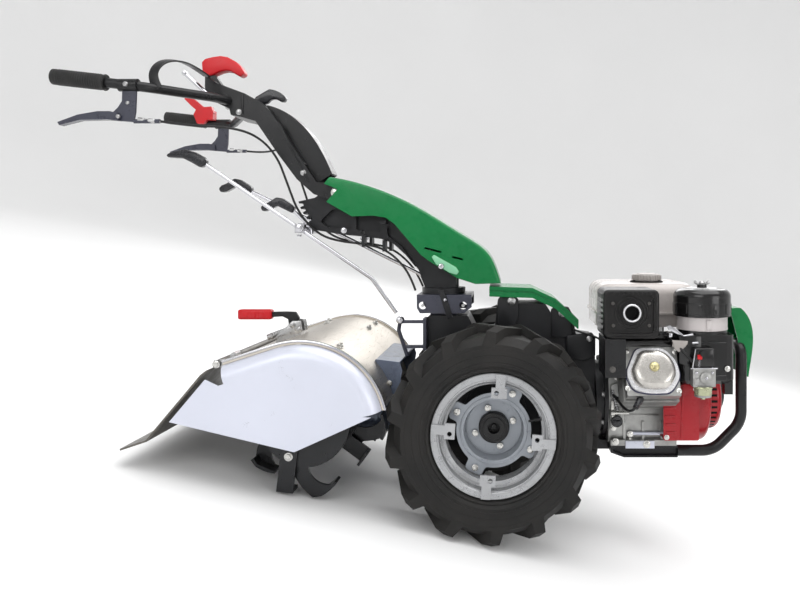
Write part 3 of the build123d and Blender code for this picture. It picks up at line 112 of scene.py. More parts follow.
# Materials, all laid out by each piece's own coordinates
def node_tree(name):
    material = bpy.data.materials.new(name)
    material.use_nodes = True
    tree = material.node_tree
    shader = tree.nodes["Principled BSDF"]
    place = tree.nodes.new("ShaderNodeTexCoord")
    return material, tree, shader, place.outputs["Object"]


def set_inputs(node, values):
    for name, value in values.items():
        node.inputs[name].default_value = value


def noise(tree, place, scale, detail=4, rough=0.55, stretch=None):
    if stretch:
        mapping = tree.nodes.new("ShaderNodeMapping")
        mapping.inputs["Scale"].default_value = stretch
        tree.links.new(place, mapping.inputs["Vector"])
        place = mapping.outputs["Vector"]
    texture = tree.nodes.new("ShaderNodeTexNoise")
    set_inputs(texture, {"Scale": scale, "Detail": detail, "Roughness": rough})
    tree.links.new(place, texture.inputs["Vector"])
    return texture.outputs["Fac"]


def spread(tree, value, low, high, start=0.3, end=0.7):
    """A value between low and high as the pattern goes from start to end."""
    span = tree.nodes.new("ShaderNodeMapRange")
    set_inputs(span, {"From Min": start, "From Max": end, "To Min": low, "To Max": high})
    tree.links.new(value, span.inputs["Value"])
    return span.outputs["Result"]


def two_tone(tree, value, dark, light, start=0.3, end=0.7):
    ramp = tree.nodes.new("ShaderNodeValToRGB")
    ramp.color_ramp.elements[0].position = start
    ramp.color_ramp.elements[1].position = end
    ramp.color_ramp.elements[0].color = (*dark, 1)
    ramp.color_ramp.elements[1].color = (*light, 1)
    tree.links.new(value, ramp.inputs["Fac"])
    return ramp.outputs["Color"]


def bump(tree, shader, value, strength, distance, under=None):
    node = tree.nodes.new("ShaderNodeBump")
    set_inputs(node, {"Strength": strength, "Distance": distance})
    tree.links.new(value, node.inputs["Height"])
    if under:
        tree.links.new(under, node.inputs["Normal"])
    tree.links.new(node.outputs["Normal"], shader.inputs["Normal"])
    return node.outputs["Normal"]


def shade(colour, share):
    return tuple(min(1, c * share) for c in colour)


def finish(name, colour, rough, metal, coat, grain, depth, patch, vary, stretch=None, shine=0.5):
    """A paint, plastic or metal: patches of a slightly other tone, uneven gloss and a fine grain.

    grain and patch are the scales of the two patterns, depth is the grain's height in metres, and vary is
    how far the patches' tone departs from the colour.
    """
    material, tree, shader, place = node_tree(name)
    patches = noise(tree, place, patch, 5, 0.6)
    tree.links.new(two_tone(tree, patches, shade(colour, 1 - vary), shade(colour, 1 + vary)),
                   shader.inputs["Base Color"])
    streaks = noise(tree, place, grain, 3, 0.5, stretch)
    gloss = noise(tree, place, patch * 4, 4)
    mixed = tree.nodes.new("ShaderNodeMath")
    mixed.operation = "MULTIPLY"
    tree.links.new(spread(tree, gloss, rough * 0.8, rough * 1.25), mixed.inputs[0])
    tree.links.new(spread(tree, streaks, 0.85, 1.15), mixed.inputs[1])
    tree.links.new(mixed.outputs["Value"], shader.inputs["Roughness"])
    set_inputs(shader, {"Metallic": metal, "Coat Weight": coat, "Coat Roughness": 0.08,
                        "Specular IOR Level": shine})
    bump(tree, shader, streaks, 0.35, depth)
    return material


def tyre_rubber():
    """Black rubber with grey dust in patches and a fine moulding grain."""
    material, tree, shader, place = node_tree("tyre_rubber")
    dust = noise(tree, place, 9, 8, 0.65)
    tree.links.new(two_tone(tree, dust, (0.0075, 0.0072, 0.0070), (0.021, 0.0195, 0.018), 0.35, 0.75),
                   shader.inputs["Base Color"])
    shader.inputs["Specular IOR Level"].default_value = 0.25
    grain = noise(tree, place, 500, 4)
    tree.links.new(spread(tree, dust, 0.46, 0.66), shader.inputs["Roughness"])
    coarse = bump(tree, shader, noise(tree, place, 60, 3), 0.25, 0.0006)
    bump(tree, shader, grain, 0.3, 0.0002, coarse)
    return material


def cast_paint(name, colour, rough):
    """Paint over a sand casting: pebbled, with duller and shinier places."""
    material, tree, shader, place = node_tree(name)
    patches = noise(tree, place, 11, 6, 0.6)
    tree.links.new(two_tone(tree, patches, shade(colour, 0.8), shade(colour, 1.5)),
                   shader.inputs["Base Color"])
    tree.links.new(spread(tree, patches, rough * 0.8, rough * 1.3), shader.inputs["Roughness"])
    shader.inputs["Specular IOR Level"].default_value = 0.3
    pebbles = bump(tree, shader, noise(tree, place, 260, 5, 0.6), 0.5, 0.0004)
    bump(tree, shader, noise(tree, place, 1200, 2), 0.25, 0.0001, pebbles)
    return material


def cast_alloy(name, colour, rough):
    """Bare cast aluminium with darker stains and a granular skin."""
    material, tree, shader, place = node_tree(name)
    stains = noise(tree, place, 22, 8, 0.65)
    tree.links.new(two_tone(tree, stains, shade(colour, 0.72), shade(colour, 1.1), 0.32, 0.62),
                   shader.inputs["Base Color"])
    tree.links.new(spread(tree, stains, rough * 1.2, rough * 0.85), shader.inputs["Roughness"])
    shader.inputs["Metallic"].default_value = 0.75
    skin = bump(tree, shader, noise(tree, place, 420, 5, 0.7), 0.45, 0.00025)
    bump(tree, shader, noise(tree, place, 1800, 2), 0.3, 0.00006, skin)
    return material


def ribbed_rubber():
    """Soft grip rubber with fine rings moulded along the handle."""
    material, tree, shader, place = node_tree("grip_rubber_ribbed")
    mapping = tree.nodes.new("ShaderNodeMapping")
    mapping.inputs["Rotation"].default_value = (0, LEAN, 0)
    tree.links.new(place, mapping.inputs["Vector"])
    rings = tree.nodes.new("ShaderNodeTexWave")
    rings.wave_type = "BANDS"
    rings.bands_direction = "X"
    set_inputs(rings, {"Scale": 60, "Distortion": 0.3})
    tree.links.new(mapping.outputs["Vector"], rings.inputs["Vector"])
    wear = noise(tree, place, 30, 5)
    tree.links.new(two_tone(tree, wear, (0.009, 0.009, 0.009), (0.021, 0.0205, 0.020)),
                   shader.inputs["Base Color"])
    shader.inputs["Specular IOR Level"].default_value = 0.3
    tree.links.new(spread(tree, wear, 0.42, 0.62), shader.inputs["Roughness"])
    bump(tree, shader, rings.outputs["Fac"], 0.5, 0.0006)
    return material


def brushed_sheet():
    """Stainless sheet with rolling streaks across the machine and faint smears."""
    material, tree, shader, place = node_tree("brushed_sheet")
    smears = noise(tree, place, 6, 6, 0.6)
    tree.links.new(two_tone(tree, smears, (0.44, 0.400, 0.350), (0.58, 0.535, 0.475)),
                   shader.inputs["Base Color"])
    streaks = noise(tree, place, 60, 4, 0.6, (14, 0.35, 14))
    tree.links.new(spread(tree, streaks, 0.24, 0.4), shader.inputs["Roughness"])
    shader.inputs["Metallic"].default_value = 0.95
    bump(tree, shader, streaks, 0.12, 0.0001)
    return material


M = {
    "tyre": tyre_rubber(),
    "rim": finish("rim_silver", (0.34, 0.345, 0.355), 0.30, 0.45, 0.15, 700, 0.00005, 10, 0.09),
    "disc": finish("disc_grey", (0.27, 0.29, 0.32), 0.34, 0.25, 0.10, 600, 0.00008, 12, 0.09),
    "hub": finish("hub_black", (0.007, 0.007, 0.0075), 0.42, 0, 0.05, 500, 0.00010, 12, 0.25,
                  shine=0.3),
    "black": finish("black_enamel", (0.0085, 0.0086, 0.0094), 0.33, 0, 0.05, 500, 0.00007, 9, 0.25,
                    shine=0.3),
    "cast": cast_paint("black_casting", (0.009, 0.0092, 0.0105), 0.38),
    "slate": finish("slate_enamel", (0.036, 0.038, 0.056), 0.32, 0.1, 0.1, 500, 0.00007, 10, 0.14,
                    shine=0.4),
    "blue": finish("blue_grey_enamel", (0.105, 0.130, 0.190), 0.30, 0.1, 0.2, 500, 0.00007, 10, 0.12),
    "gasket": finish("gasket_edge", (0.014, 0.013, 0.050), 0.45, 0, 0, 900, 0.00005, 25, 0.15),
    "green": finish("green_moulding", (0, 0.150, 0.038), 0.28, 0, 0.1, 1500, 0.00002, 7, 0.07,
                    shine=0.25),
    "pale_green": finish("pale_green_tab", (0.20, 0.50, 0.30), 0.3, 0, 0.1, 1200, 0.00002, 9, 0.08),
    "red": finish("red_enamel", (0.32, 0.007, 0.013), 0.30, 0, 0.15, 900, 0.00004, 8, 0.10, shine=0.3),
    "red_plastic": finish("red_plastic", (0.50, 0.006, 0.011), 0.36, 0, 0.1, 700, 0.00006, 12, 0.07,
                          shine=0.3),
    "alloy": cast_alloy("engine_casting", (0.34, 0.34, 0.33), 0.42),
    "bright_alloy": cast_alloy("pressed_cover_alloy", (0.52, 0.50, 0.47), 0.26),
    "machined": finish("machined_alloy", (0.74, 0.74, 0.76), 0.24, 0.5, 0, 900, 0.00003, 18, 0.05),
    "white": finish("tank_enamel", (0.49, 0.45, 0.43), 0.28, 0, 0.25, 900, 0.00004, 7, 0.05),
    "cap": finish("cap_enamel", (0.31, 0.285, 0.27), 0.36, 0.1, 0.2, 800, 0.00005, 24, 0.14),
    "cleaner": finish("cleaner_plastic", (0.006, 0.0058, 0.006), 0.18, 0, 0.25, 900, 0.00004, 10, 0.2,
                      shine=0.35),
    "band": finish("cleaner_band", (0.50, 0.465, 0.46), 0.36, 0, 0.1, 900, 0.00005, 12, 0.06),
    "muffler": finish("muffler_black", (0.0058, 0.0052, 0.0052), 0.34, 0.1, 0.08, 600, 0.00012, 18, 0.35,
                      shine=0.3),
    "stainless": brushed_sheet(),
    "silver": finish("silver_sheet", (0.58, 0.60, 0.685), 0.36, 0.25, 0.1, 800, 0.00003, 5, 0.04,
                     (0.6, 8, 0.6)),
    "dark_sheet": finish("flap_sheet", (0.115, 0.108, 0.095), 0.4, 0.65, 0, 500, 0.0001, 8, 0.25,
                         (6, 0.4, 6)),
    "tine": finish("hoe_enamel", (0.010, 0.0104, 0.012), 0.34, 0.2, 0.1, 400, 0.00012, 14, 0.3,
                   shine=0.4),
    "grip": ribbed_rubber(),
    "knob": finish("knob_plastic", (0.011, 0.0115, 0.0145), 0.28, 0, 0.2, 600, 0.00008, 16, 0.2,
                   shine=0.4),
    "chrome": finish("chromed_steel", (0.52, 0.52, 0.545), 0.16, 1, 0, 500, 0.00002, 20, 0.06),
    "zinc": finish("zinc_plate", (0.42, 0.42, 0.42), 0.30, 0.9, 0, 700, 0.00006, 30, 0.16),
    "nut": finish("bright_zinc", (0.58, 0.575, 0.55), 0.24, 0.85, 0, 700, 0.00005, 40, 0.14),
    "dull_screw": finish("heat_dulled_steel", (0.10, 0.095, 0.09), 0.42, 0.8, 0, 700, 0.00006, 40, 0.2),
    "brass": finish("passivated_brass", (0.50, 0.45, 0.25), 0.30, 0.85, 0, 700, 0.00005, 40, 0.12),
    "cable": finish("cable_sheath", (0.008, 0.008, 0.0085), 0.38, 0, 0.05, 900, 0.00005, 30, 0.2,
                    shine=0.3),
    # Near-black fill for openings and gaps, standing for the shade inside them: painted shade
    "dark": finish("painted_shade_fill", (0.003, 0.003, 0.003), 0.6, 0, 0, 300, 0.0001, 20, 0.2,
                   shine=0.15),
    "bowl": cast_alloy("carburettor_bowl", (0.46, 0.48, 0.32), 0.24),
}
# The nodes that each finish is for
FINISH_NODES = {
    "cast": "gear_case clutch_housing engine_plate column_arm",
    "alloy": "crankcase cylinder carburettor",
    "bright_alloy": "valve_cover",
    "white": "fuel_tank",
    "cap": "tank_cap",
    "black": "engine_brackets bumper console console_back handle_tubes bail_bar",
    "muffler": "muffler",
    "cleaner": "air_cleaner_base air_cleaner_cap",
    "band": "air_cleaner_band",
    "red": "fan_shroud",
    "green": "front_shield front_cover column_cover",
    "slate": "column_base brake_levers",
    "stainless": "tiller_hood",
    "silver": "tiller_cheek_right tiller_cheek_left",
    "blue": "tiller_case tiller_bracket",
    "zinc": "flap_hinge depth_lever",
    "red_plastic": "depth_lever_grip stop_lever hook_handle",
    "tine": "tiller_rotor",
    "dark_sheet": "rear_flap",
    "chrome": "gear_rods",
    "knob": "gear_knobs hook_lever",
    "grip": "grips",
    "cable": "cables_upper cables_lower",
    "tyre": "tyre_right tyre_left",
    "rim": "rim_right rim_left",
    "disc": "wheel_disc_right wheel_disc_left",
    "hub": "hub_right hub_left",
}
NODE_FINISH = {node: name for name, nodes in FINISH_NODES.items() for node in nodes.split()}
SOFT_EDGE = {"tyre_right": 1.6, "tyre_left": 1.6, "gear_case": 2, "clutch_housing": 2, "column_arm": 1.6,
             "crankcase": 1.6, "column_cover": 1.2, "front_cover": 1.2, "fuel_tank": 0.8}


def dress_node(name, piece):
    """A carried-over node gets its finish, joined corners and softly rounded edges."""
    mesh = piece.data
    mesh.materials.clear()
    mesh.materials.append(M[NODE_FINISH[name]])
    if "custom_normal" in mesh.attributes:
        mesh.attributes.remove(mesh.attributes["custom_normal"])
    smooth(mesh)
    mesh.polygons.foreach_set("material_index", [0] * len(mesh.polygons))
    weld = piece.modifiers.new("weld", "WELD")
    weld.merge_threshold = 0.00002
    edge = piece.modifiers.new("edge", "BEVEL")
    edge.width = SOFT_EDGE.get(name, 0.7) * 0.001
    edge.segments = 2
    edge.limit_method = "ANGLE"
    edge.angle_limit = radians(32)
    edge.harden_normals = True


# Shaping
def facing(x, y, z, way, roll=0):
    """A place whose own Z looks along way."""
    turn = Vector(way).to_track_quat("Z", "Y").to_matrix().to_4x4()
    return shift(x, y, z) @ turn @ Matrix.Rotation(roll, 4, "Z")


def polar(x, z, radius, degrees):
    a = radians(degrees)
    return (x + radius * cos(a), z + radius * sin(a))


class Work:
    """One piece in the making, in level millimetres unless it is told another place."""

    def __init__(self):
        self.bm = bmesh.new()

    def add(self, part, place=UNMOVED, round_by=0, segments=2):
        bmesh.ops.remove_doubles(part, verts=part.verts, dist=0.001)
        bmesh.ops.recalc_face_normals(part, faces=part.faces)
        if round_by:
            edges = [e for e in part.edges if e.is_manifold and e.calc_face_angle(0) > 0.5]
            bmesh.ops.bevel(part, geom=edges, offset=round_by, offset_type="OFFSET", segments=segments,
                            profile=0.5, affect="EDGES", clamp_overlap=True, material=-1)
        bmesh.ops.transform(part, matrix=place, verts=part.verts)
        if place.determinant() < 0:
            bmesh.ops.reverse_faces(part, faces=part.faces)
        mesh = bpy.data.meshes.new("part")
        part.to_mesh(mesh)
        part.free()
        self.bm.from_mesh(mesh)
        bpy.data.meshes.remove(mesh)

    def block(self, low, high, round_by=0.8, place=UNMOVED, segments=2):
        part = bmesh.new()
        bmesh.ops.create_cube(part, size=1)
        low, high = Vector(low), Vector(high)
        bmesh.ops.scale(part, vec=high - low, verts=part.verts)
        bmesh.ops.translate(part, vec=(low + high) / 2, verts=part.verts)
        self.add(part, place, round_by, segments)

    def plate(self, points, y0, y1, round_by=0.8, segments=2, place=UNMOVED):
        """A plate with a side outline of (x, z) points."""
        part = bmesh.new()
        face = part.faces.new([part.verts.new((x, y0, z)) for x, z in points])
        made = bmesh.ops.extrude_face_region(part, geom=[face])["geom"]
        far_side = [g for g in made if isinstance(g, bmesh.types.BMVert)]
        bmesh.ops.translate(part, vec=(0, y1 - y0, 0), verts=far_side)
        self.add(part, place, round_by, segments)

    def layered(self, outline, corner, layers, place, first=1):
        """An outline with rounded corners, raised in layers of (share of its size, height)."""
        part = bmesh.new()
        part.faces.new([part.verts.new((x * first, y * first, 0)) for x, y in outline])
        bmesh.ops.bevel(part, geom=list(part.verts), offset=corner, offset_type="OFFSET", segments=6,
                        profile=0.5, affect="VERTICES", clamp_overlap=True, material=-1)
        made = bmesh.ops.extrude_face_region(part, geom=part.faces[:])["geom"]
        top = next(g for g in made if isinstance(g, bmesh.types.BMFace))
        share, height = first, 0
        for number, (next_share, next_height) in enumerate(layers):
            if number:
                top = bmesh.ops.extrude_discrete_faces(part, faces=[top])["faces"][0]
            bmesh.ops.scale(part, vec=(next_share / share, next_share / share, 1), verts=top.verts)
            bmesh.ops.translate(part, vec=(0, 0, next_height - height), verts=top.verts)
            share, height = next_share, next_height
        self.add(part, place)

    def turned(self, profile, place, steps=32, closed=False):
        """A turned shape from (radius, along) points about the place's own Z."""
        part = bmesh.new()
        verts = [part.verts.new((r, 0, h)) for r, h in profile]
        edges = [part.edges.new(pair) for pair in zip(verts, verts[1:])]
        if closed:
            edges.append(part.edges.new((verts[-1], verts[0])))
        bmesh.ops.spin(part, geom=verts + edges, cent=(0, 0, 0), axis=(0, 0, 1), dvec=(0, 0, 0),
                       angle=2 * pi, steps=steps, use_merge=True)
        self.add(part, place)

    def prism(self, sides, radius, height, place, round_by=0.4):
        part = bmesh.new()
        bmesh.ops.create_cone(part, cap_ends=True, segments=sides, radius1=radius, radius2=radius,
                              depth=height)
        bmesh.ops.translate(part, vec=(0, 0, height / 2), verts=part.verts)
        self.add(part, place, round_by)

    def bolt(self, x, y, z, way, size=8):
        """A washer and a hexagon head on a face that looks along way."""
        at = facing(x, y, z, way, 0.3)
        r = size * 0.95
        self.turned([(0, 0), (r * 1.35, 0), (r * 1.35, size * 0.14), (r * 1.25, size * 0.2), (0, size * 0.2)],
                    at, 20)
        self.prism(6, r, size * 0.62, at @ shift(0, 0, size * 0.2), size * 0.07)

    def screw(self, x, y, z, way, r=5):
        """A low round head with a dimple."""
        at = facing(x, y, z, way)
        self.turned([(0, r * 0.35), (r * 0.3, r * 0.35), (r * 0.45, r * 0.62), (r * 0.8, r * 0.5),
                     (r, r * 0.2), (r, -1), (0, -1)], at, 20)

    def rod(self, x, y, z, way, radius, length, steps):
        """A plain round bar from a place along way."""
        self.turned([(0, 0), (radius, 0), (radius, length), (0, length)], facing(x, y, z, way), steps)

    def ring(self, radius, thick, place, steps=48, round_steps=8):
        section = [polar(radius, 0, thick, 360 * i / round_steps) for i in range(round_steps)]
        self.turned(section, place, steps, closed=True)

    def done(self, name, finish_name, body="chassis", place=LEVEL):
        bm = self.bm
        bmesh.ops.transform(bm, matrix=place, verts=bm.verts)
        if place.determinant() < 0:
            bmesh.ops.reverse_faces(bm, faces=bm.faces)
        mesh = bpy.data.meshes.new(name)
        bm.to_mesh(mesh)
        bm.free()
        return place_mesh(name, mesh, body, finish_name)


def place_mesh(name, mesh, body, finish_name):
    mesh.materials.append(M[finish_name])
    smooth(mesh)
    mesh.set_sharp_from_angle(angle=SMOOTH_UP_TO)
    piece = new_object(name, mesh)
    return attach(piece, body) if body else piece


def bar(name, body, finish_name, lines, radius, flat=0):
    """Round bars or sheathed wires along smooth lines of points; flat makes a strap of that half width."""
    curve = bpy.data.curves.new(name + "_line", "CURVE")
    curve.dimensions = "3D"
    curve.resolution_u = 6
    curve.bevel_depth = radius * 0.001
    curve.extrude = flat * 0.001
    curve.bevel_resolution = 2
    curve.use_fill_caps = True
    for points in lines:
        spline = curve.splines.new("NURBS")
        spline.points.add(len(points) - 1)
        for at, point in zip(spline.points, points):
            at.co = (*(LEVEL @ Vector(point)), 1)
        spline.order_u = 3
        spline.use_endpoint_u = True
    holder = new_object(name + "_line", curve)
    bpy.context.view_layer.update()
    mesh = bpy.data.meshes.new_from_object(holder.evaluated_get(bpy.context.evaluated_depsgraph_get()))
    mesh.name = name
    bpy.data.objects.remove(holder)
    return place_mesh(name, mesh, body, finish_name)


# Wheels, drawn about the axle's middle
RIM_FLANGE_R = 144
RIM_EDGE_Y = 53
DISC_FACE_Y = 2
DISC_TURN = 14
DISC_BOLT_R, HUB_BOLT_R = 98, 48


def wheel_place(side):
    flip = MIRROR if side > 0 else UNMOVED
    return shift(AXLE.x, side * HALF_TRACK, AXLE.z) @ MILLIMETRES @ flip


def dress_wheel(side, name):
    body = "wheel_" + name
    at = wheel_place(side)
    outward, inward = facing(0, 0, 0, RIGHT), facing(0, 0, 0, LEFT)
    rings = Work()
    for face in (outward, inward):
        for r, w in ((171, 1.3), (188, 1), (205, 1.5)):
            rings.turned([(r - w * 1.6, 62.5), (r - w, 64.2), (r + w, 64.2), (r + w * 1.6, 62.5)], face, 96,
                         closed=True)
        rings.turned([(148, 52), (150, 57), (154, 59), (158, 57.5), (160, 53)], face, 96, closed=True)
    rings.done("tyre_rings_" + name, "tyre", body, at)
    edge = Work()
    for face in (outward, inward):
        edge.ring(RIM_FLANGE_R - 0.8, 2.6, face @ shift(0, 0, RIM_EDGE_Y - 1.8), 96, 10)
        edge.ring(136, 1, face @ shift(0, 0, RIM_EDGE_Y - 1.2), 96)
        edge.ring(128, 1.6, face @ shift(0, 0, RIM_EDGE_Y - 3), 96)
        edge.ring(120, 1.4, face @ shift(0, 0, 34), 96)
    edge.done("rim_edges_" + name, "rim", body, at)
    nuts = Work()
    for i in range(4):
        a = radians(DISC_TURN + 90 * i)
        nuts.bolt(DISC_BOLT_R * cos(a), DISC_FACE_Y - 6, -DISC_BOLT_R * sin(a), RIGHT, 6.2)
        a = radians(DISC_TURN + 45 + 90 * i)
        nuts.bolt(HUB_BOLT_R * cos(a), DISC_FACE_Y + 28, -HUB_BOLT_R * sin(a), RIGHT, 6.2)
    nuts.done("wheel_nuts_" + name, "nut", body, at)
    dish = Work()
    dish.ring(79, 1.6, facing(0, DISC_FACE_Y - 0.4, 0, RIGHT), 64)
    dish.ring(66, 1.2, facing(0, DISC_FACE_Y + 34.6, 0, RIGHT), 48)
    dish.done("dish_edges_" + name, "disc", body, at)
    cap = Work()
    cap.ring(33.5, 3, facing(0, 21, 0, RIGHT), 48)
    cap.turned([(14, -2), (14.5, 1.5), (17, 2.6), (26, 2.6), (27, 0), (14, -2)], facing(0, 20.5, 0, RIGHT),
               40)
    cap.turned([(0, 0), (6, 0.4), (8, -3), (13.4, -3.4), (13.4, -8), (0, -8)], facing(0, 33, 0, RIGHT), 32)
    cap.done("hub_ring_" + name, "hub", body, at)
    valve = Work()
    way = (cos(0.52), -0.25, sin(0.52))
    valve.turned([(0, 0), (2.6, 0), (2.6, 14), (4.2, 16), (5, 28), (6, 30), (0, 30)],
                 facing(86 * way[0], -12, 86 * way[2], way), 16)
    valve.done("tyre_valve_" + name, "black", body, at)


# Engine: the crankshaft's height, the cylinder's lean and the places that its pieces are drawn from
CRANK_Z = 287
CASE_SIDE_Y, PLATE_SIDE_Y = -92, -104
CASE_BOLTS = ((312, 352), (448, 346), (456, 222), (304, 222))
TANK_CAP = (412, 20, 610)
EXHAUST_X, EXHAUST_Z, GUARD_Y = 329.5, 527.5, -214
CLEANER = (520, -132, 581)
CARBURETTOR_X, CARBURETTOR_Y = 501, -209
SHROUD_FRONT_X, SHROUD_SIDE_Y = 552, -150
CYL_LEAN = radians(27)
CYLINDER = (shift(382, 0, CRANK_Z)
            @ Matrix(((1, 0, 0, 0), (0, sin(CYL_LEAN), -cos(CYL_LEAN), 0),
                      (0, cos(CYL_LEAN), sin(CYL_LEAN), 0), (0, 0, 0, 1))))
COVER_OUTLINE = [(-66, -10), (-50, -50), (-10, -58), (40, -56), (66, -18), (60, 22), (32, 54), (-36, 54)]
COVER_LIP = [(1, 7), (0.985, 8.6), (0.84, 8.6)]
COVER_DOME = [(0.86, 8.5), (0.85, 13), (0.82, 20), (0.76, 26), (0.68, 29.4), (0.56, 30.6), (0.2, 30.8)]


def dress_cylinder_head():
    gasket = Work()
    gasket.layered(COVER_OUTLINE, 13, [(1.045, 3.4)], CYLINDER @ shift(0, 0, 217.4), 1.045)
    gasket.done("head_gasket", "gasket")
    lip = Work()
    lip.layered(COVER_OUTLINE, 14, COVER_LIP, CYLINDER @ shift(0, 0, 220))
    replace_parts(lip.done("cover_lip", "machined"), "valve_cover")
    dome = Work()
    dome.layered(COVER_OUTLINE, 15, COVER_DOME, CYLINDER @ shift(0, 0, 220), 0.86)
    dome.turned([(0, 0), (17, 0), (15, 2.6), (13.2, 6.4), (0, 6.4)],
                CYLINDER @ shift(0, 0, 245), 40)
    dome.done("cover_dome", "bright_alloy")
    head = Work()
    centre = CYLINDER @ Vector((0, 0, 251.2))
    out = CYLINDER.to_3x3() @ Vector(UPWARD)
    head.turned([(0, 0), (11, 0), (12, 1.2), (11, 2.4), (0, 2.4)], facing(*centre, out), 28)
    head.bolt(*(centre + out * 2), out, 7.5)
    head.done("cover_bolt", "brass")
    studs = Work()
    for x, y in ((-62, -44), (60, -50), (60, 46), (-58, 48)):
        studs.bolt(*(CYLINDER @ Vector((x, y, 219.6))), out, 5)
    studs.done("head_bolts", "nut")
    plug = Work()
    side, way = CYLINDER @ Vector((-30, -64, 204)), Vector((-0.5, -0.75, -0.45))
    plug.turned([(0, 0), (8, 0), (9, 14), (7, 18), (7, 34), (0, 36)], facing(*side, way), 20)
    plug.done("spark_plug_cap", "knob")
    start = side + way * 34
    bar("spark_lead", "chassis", "cable",
        [[tuple(start), (start.x - 16, start.y - 8, start.z - 18), (296, -128, 318), (304, -104, 300),
          (322, -92, 296)]], 3.4)
    # Thin black sheets in the space between muffler, valve cover and air cleaner: painted shade filling that
    # shaded space
    shade_sheets = Work()
    shade_sheets.plate([(270, 475), (456, 475), (456, 380), (448, 380), (448, 452), (270, 452)], -151, -147, 0.8)
    shade_sheets.plate([(314, 455), (450, 455), (450, 441), (314, 441)], -172, -168, 0.8)
    shade_sheets.plate([(447, 470), (500, 470), (500, 400), (470, 396), (447, 404)], -199.5, -196, 1.5)
    shade_sheets.done("painted_shade_sheets", "cleaner")


def dress_crankcase():
    y = CASE_SIDE_Y
    bosses = Work()
    for x, z in CASE_BOLTS:
        bosses.turned([(0, -6), (11, -6), (10, 5), (0, 5)], facing(x, y, z, RIGHT), 24)
    bosses.block((322, y - 3, 252), (420, y + 2, 256), 1)
    bosses.plate([(296, 330), (330, 346), (352, 330), (344, 296), (312, 288), (296, 300)], y - 7, y + 4, 3, 3)
    bosses.plate([(294, 268), (318, 276), (334, 262), (334, 236), (318, 222), (294, 224)], y - 6, y + 3, 3, 3)
    bosses.done("crankcase_bosses", "alloy")
    plate = Work()
    plate.plate([(333, 191), (407, 191), (407, 172), (333, 172)], PLATE_SIDE_Y - 4, PLATE_SIDE_Y + 1, 1.2)
    plate.rod(340, y - 6, 208, FORWARD, 4.2, 112, 20)
    plate.done("mounting_strap", "silver")
    bolts = Work()
    for x, z in CASE_BOLTS:
        bolts.bolt(x, y - 5, z, RIGHT, 6)
    bolts.bolt(387, PLATE_SIDE_Y - 4, 183, RIGHT, 7.5)
    for x in (346, 446):
        bolts.bolt(x, y - 10, 207, RIGHT, 6)
        bolts.bolt(x, y - 10, 194, UPWARD, 5)
    bolts.bolt(308, y - 12, 188, RIGHT, 7)
    bolts.turned([(0, 0), (4.5, 0), (4.5, 42), (0, 43)], facing(300, y - 14, 262, FORWARD), 16)
    bolts.rod(296, y - 14, 262, FORWARD, 7, 10, 20)
    bolts.plate([(298, 292), (306, 292), (304, 262), (312, 240), (306, 236), (297, 258)], y - 11, y - 6, 0.6)
    bolts.done("crankcase_bolts", "nut")
    filler = Work()
    filler.turned([(0, -2), (15, -2), (15, 8), (13, 10), (0, 10)], facing(312, y - 4, 240, RIGHT), 28)
    filler.block((-10, -3, 9), (10, 3, 16), 1.5, facing(312, y - 4, 240, RIGHT))
    filler.done("oil_filler_cap", "knob")
    spring = Work()
    for i in range(9):
        spring.ring(4.2, 0.8, facing(300 + 1.6 * i, y - 12, 318 - 6 * i, (0.25, 0, -1)), 14, 6)
    spring.done("governor_spring", "chrome")


def dress_tank():
    x, y, top = TANK_CAP
    ribs = Work()
    for i in range(30):
        turn = shift(x, y, top - 16) @ Matrix.Rotation(2 * pi * i / 30, 4, "Z")
        ribs.block((36.8, -1.7, 0.5), (39.8, 1.7, 12.5), 0.7, turn)
    ribs.turned([(0, 0), (25, 0), (26, 1.6), (23, 2.6), (0, 2.2)], facing(x, y, top - 0.6, UPWARD), 40)
    ribs.done("tank_cap_ribs", "cap")
    # A near-black ring in the gap under the cap: painted shade where the cap meets the tank
    neck = Work()
    neck.turned([(41, -4), (44, -4), (44, 1.5), (41, 3)], facing(x, y, top - 21, UPWARD), 48, closed=True)
    neck.done("tank_neck_shade", "dark")
    hose = [(418, -36, 478), (418, -60, 466), (424, -120, 463), (438, -190, 454), (456, -209, 432),
            (478, -215, 408), (484, -212, 394)]
    bar("fuel_hose", "chassis", "cable", [hose], 3.6)


def dress_muffler():
    x, y, z = EXHAUST_X, GUARD_Y, EXHAUST_Z
    ring = Work()
    ring.turned([(17.4, 4), (17.4, 8.5), (18.4, 9.6), (20.6, 9.6), (21.6, 8.5), (21.6, 4)],
                facing(x, y, z, RIGHT), 56, closed=True)
    ring.done("exhaust_ring", "machined")
    panel = Work()
    for r in (39, 31):
        panel.ring(r, 1.3, facing(x, y + 3.4, z, RIGHT), 56)
    panel.block((282, y - 2, 467), (378, y + 2, 471), 1)
    for i in range(9):
        panel.block((284 + 11 * i, y - 0.5, 571), (290 + 11 * i, y + 6, 577), 0.8)
    for i in range(7):
        panel.block((260.5, y + 18 + 11 * i, 560), (264, y + 25 + 11 * i, 572), 0.8)
    for i in range(6):
        panel.plate([(262.5, 482 + 13 * i), (258.5, 486 + 13 * i), (262.5, 490 + 13 * i)], y + 20, y + 96,
                    0.4)
    panel.done("muffler_pressings", "muffler")
    screws = Work()
    for sx, sz in ((285, 550), (372, 550), (286, 497), (372, 497)):
        screws.screw(sx, y + 3.4, sz, RIGHT, 4.2)
    screws.bolt(284, y + 0.5, 392, RIGHT, 6)
    screws.done("muffler_screws", "dull_screw")
    # A near-black disc a little way inside the outlet: painted shade down the pipe
    inside = Work()
    inside.rod(x, y + 7, z, RIGHT, 15.9, 1, 32)
    inside.done("exhaust_bore_shade", "dark")


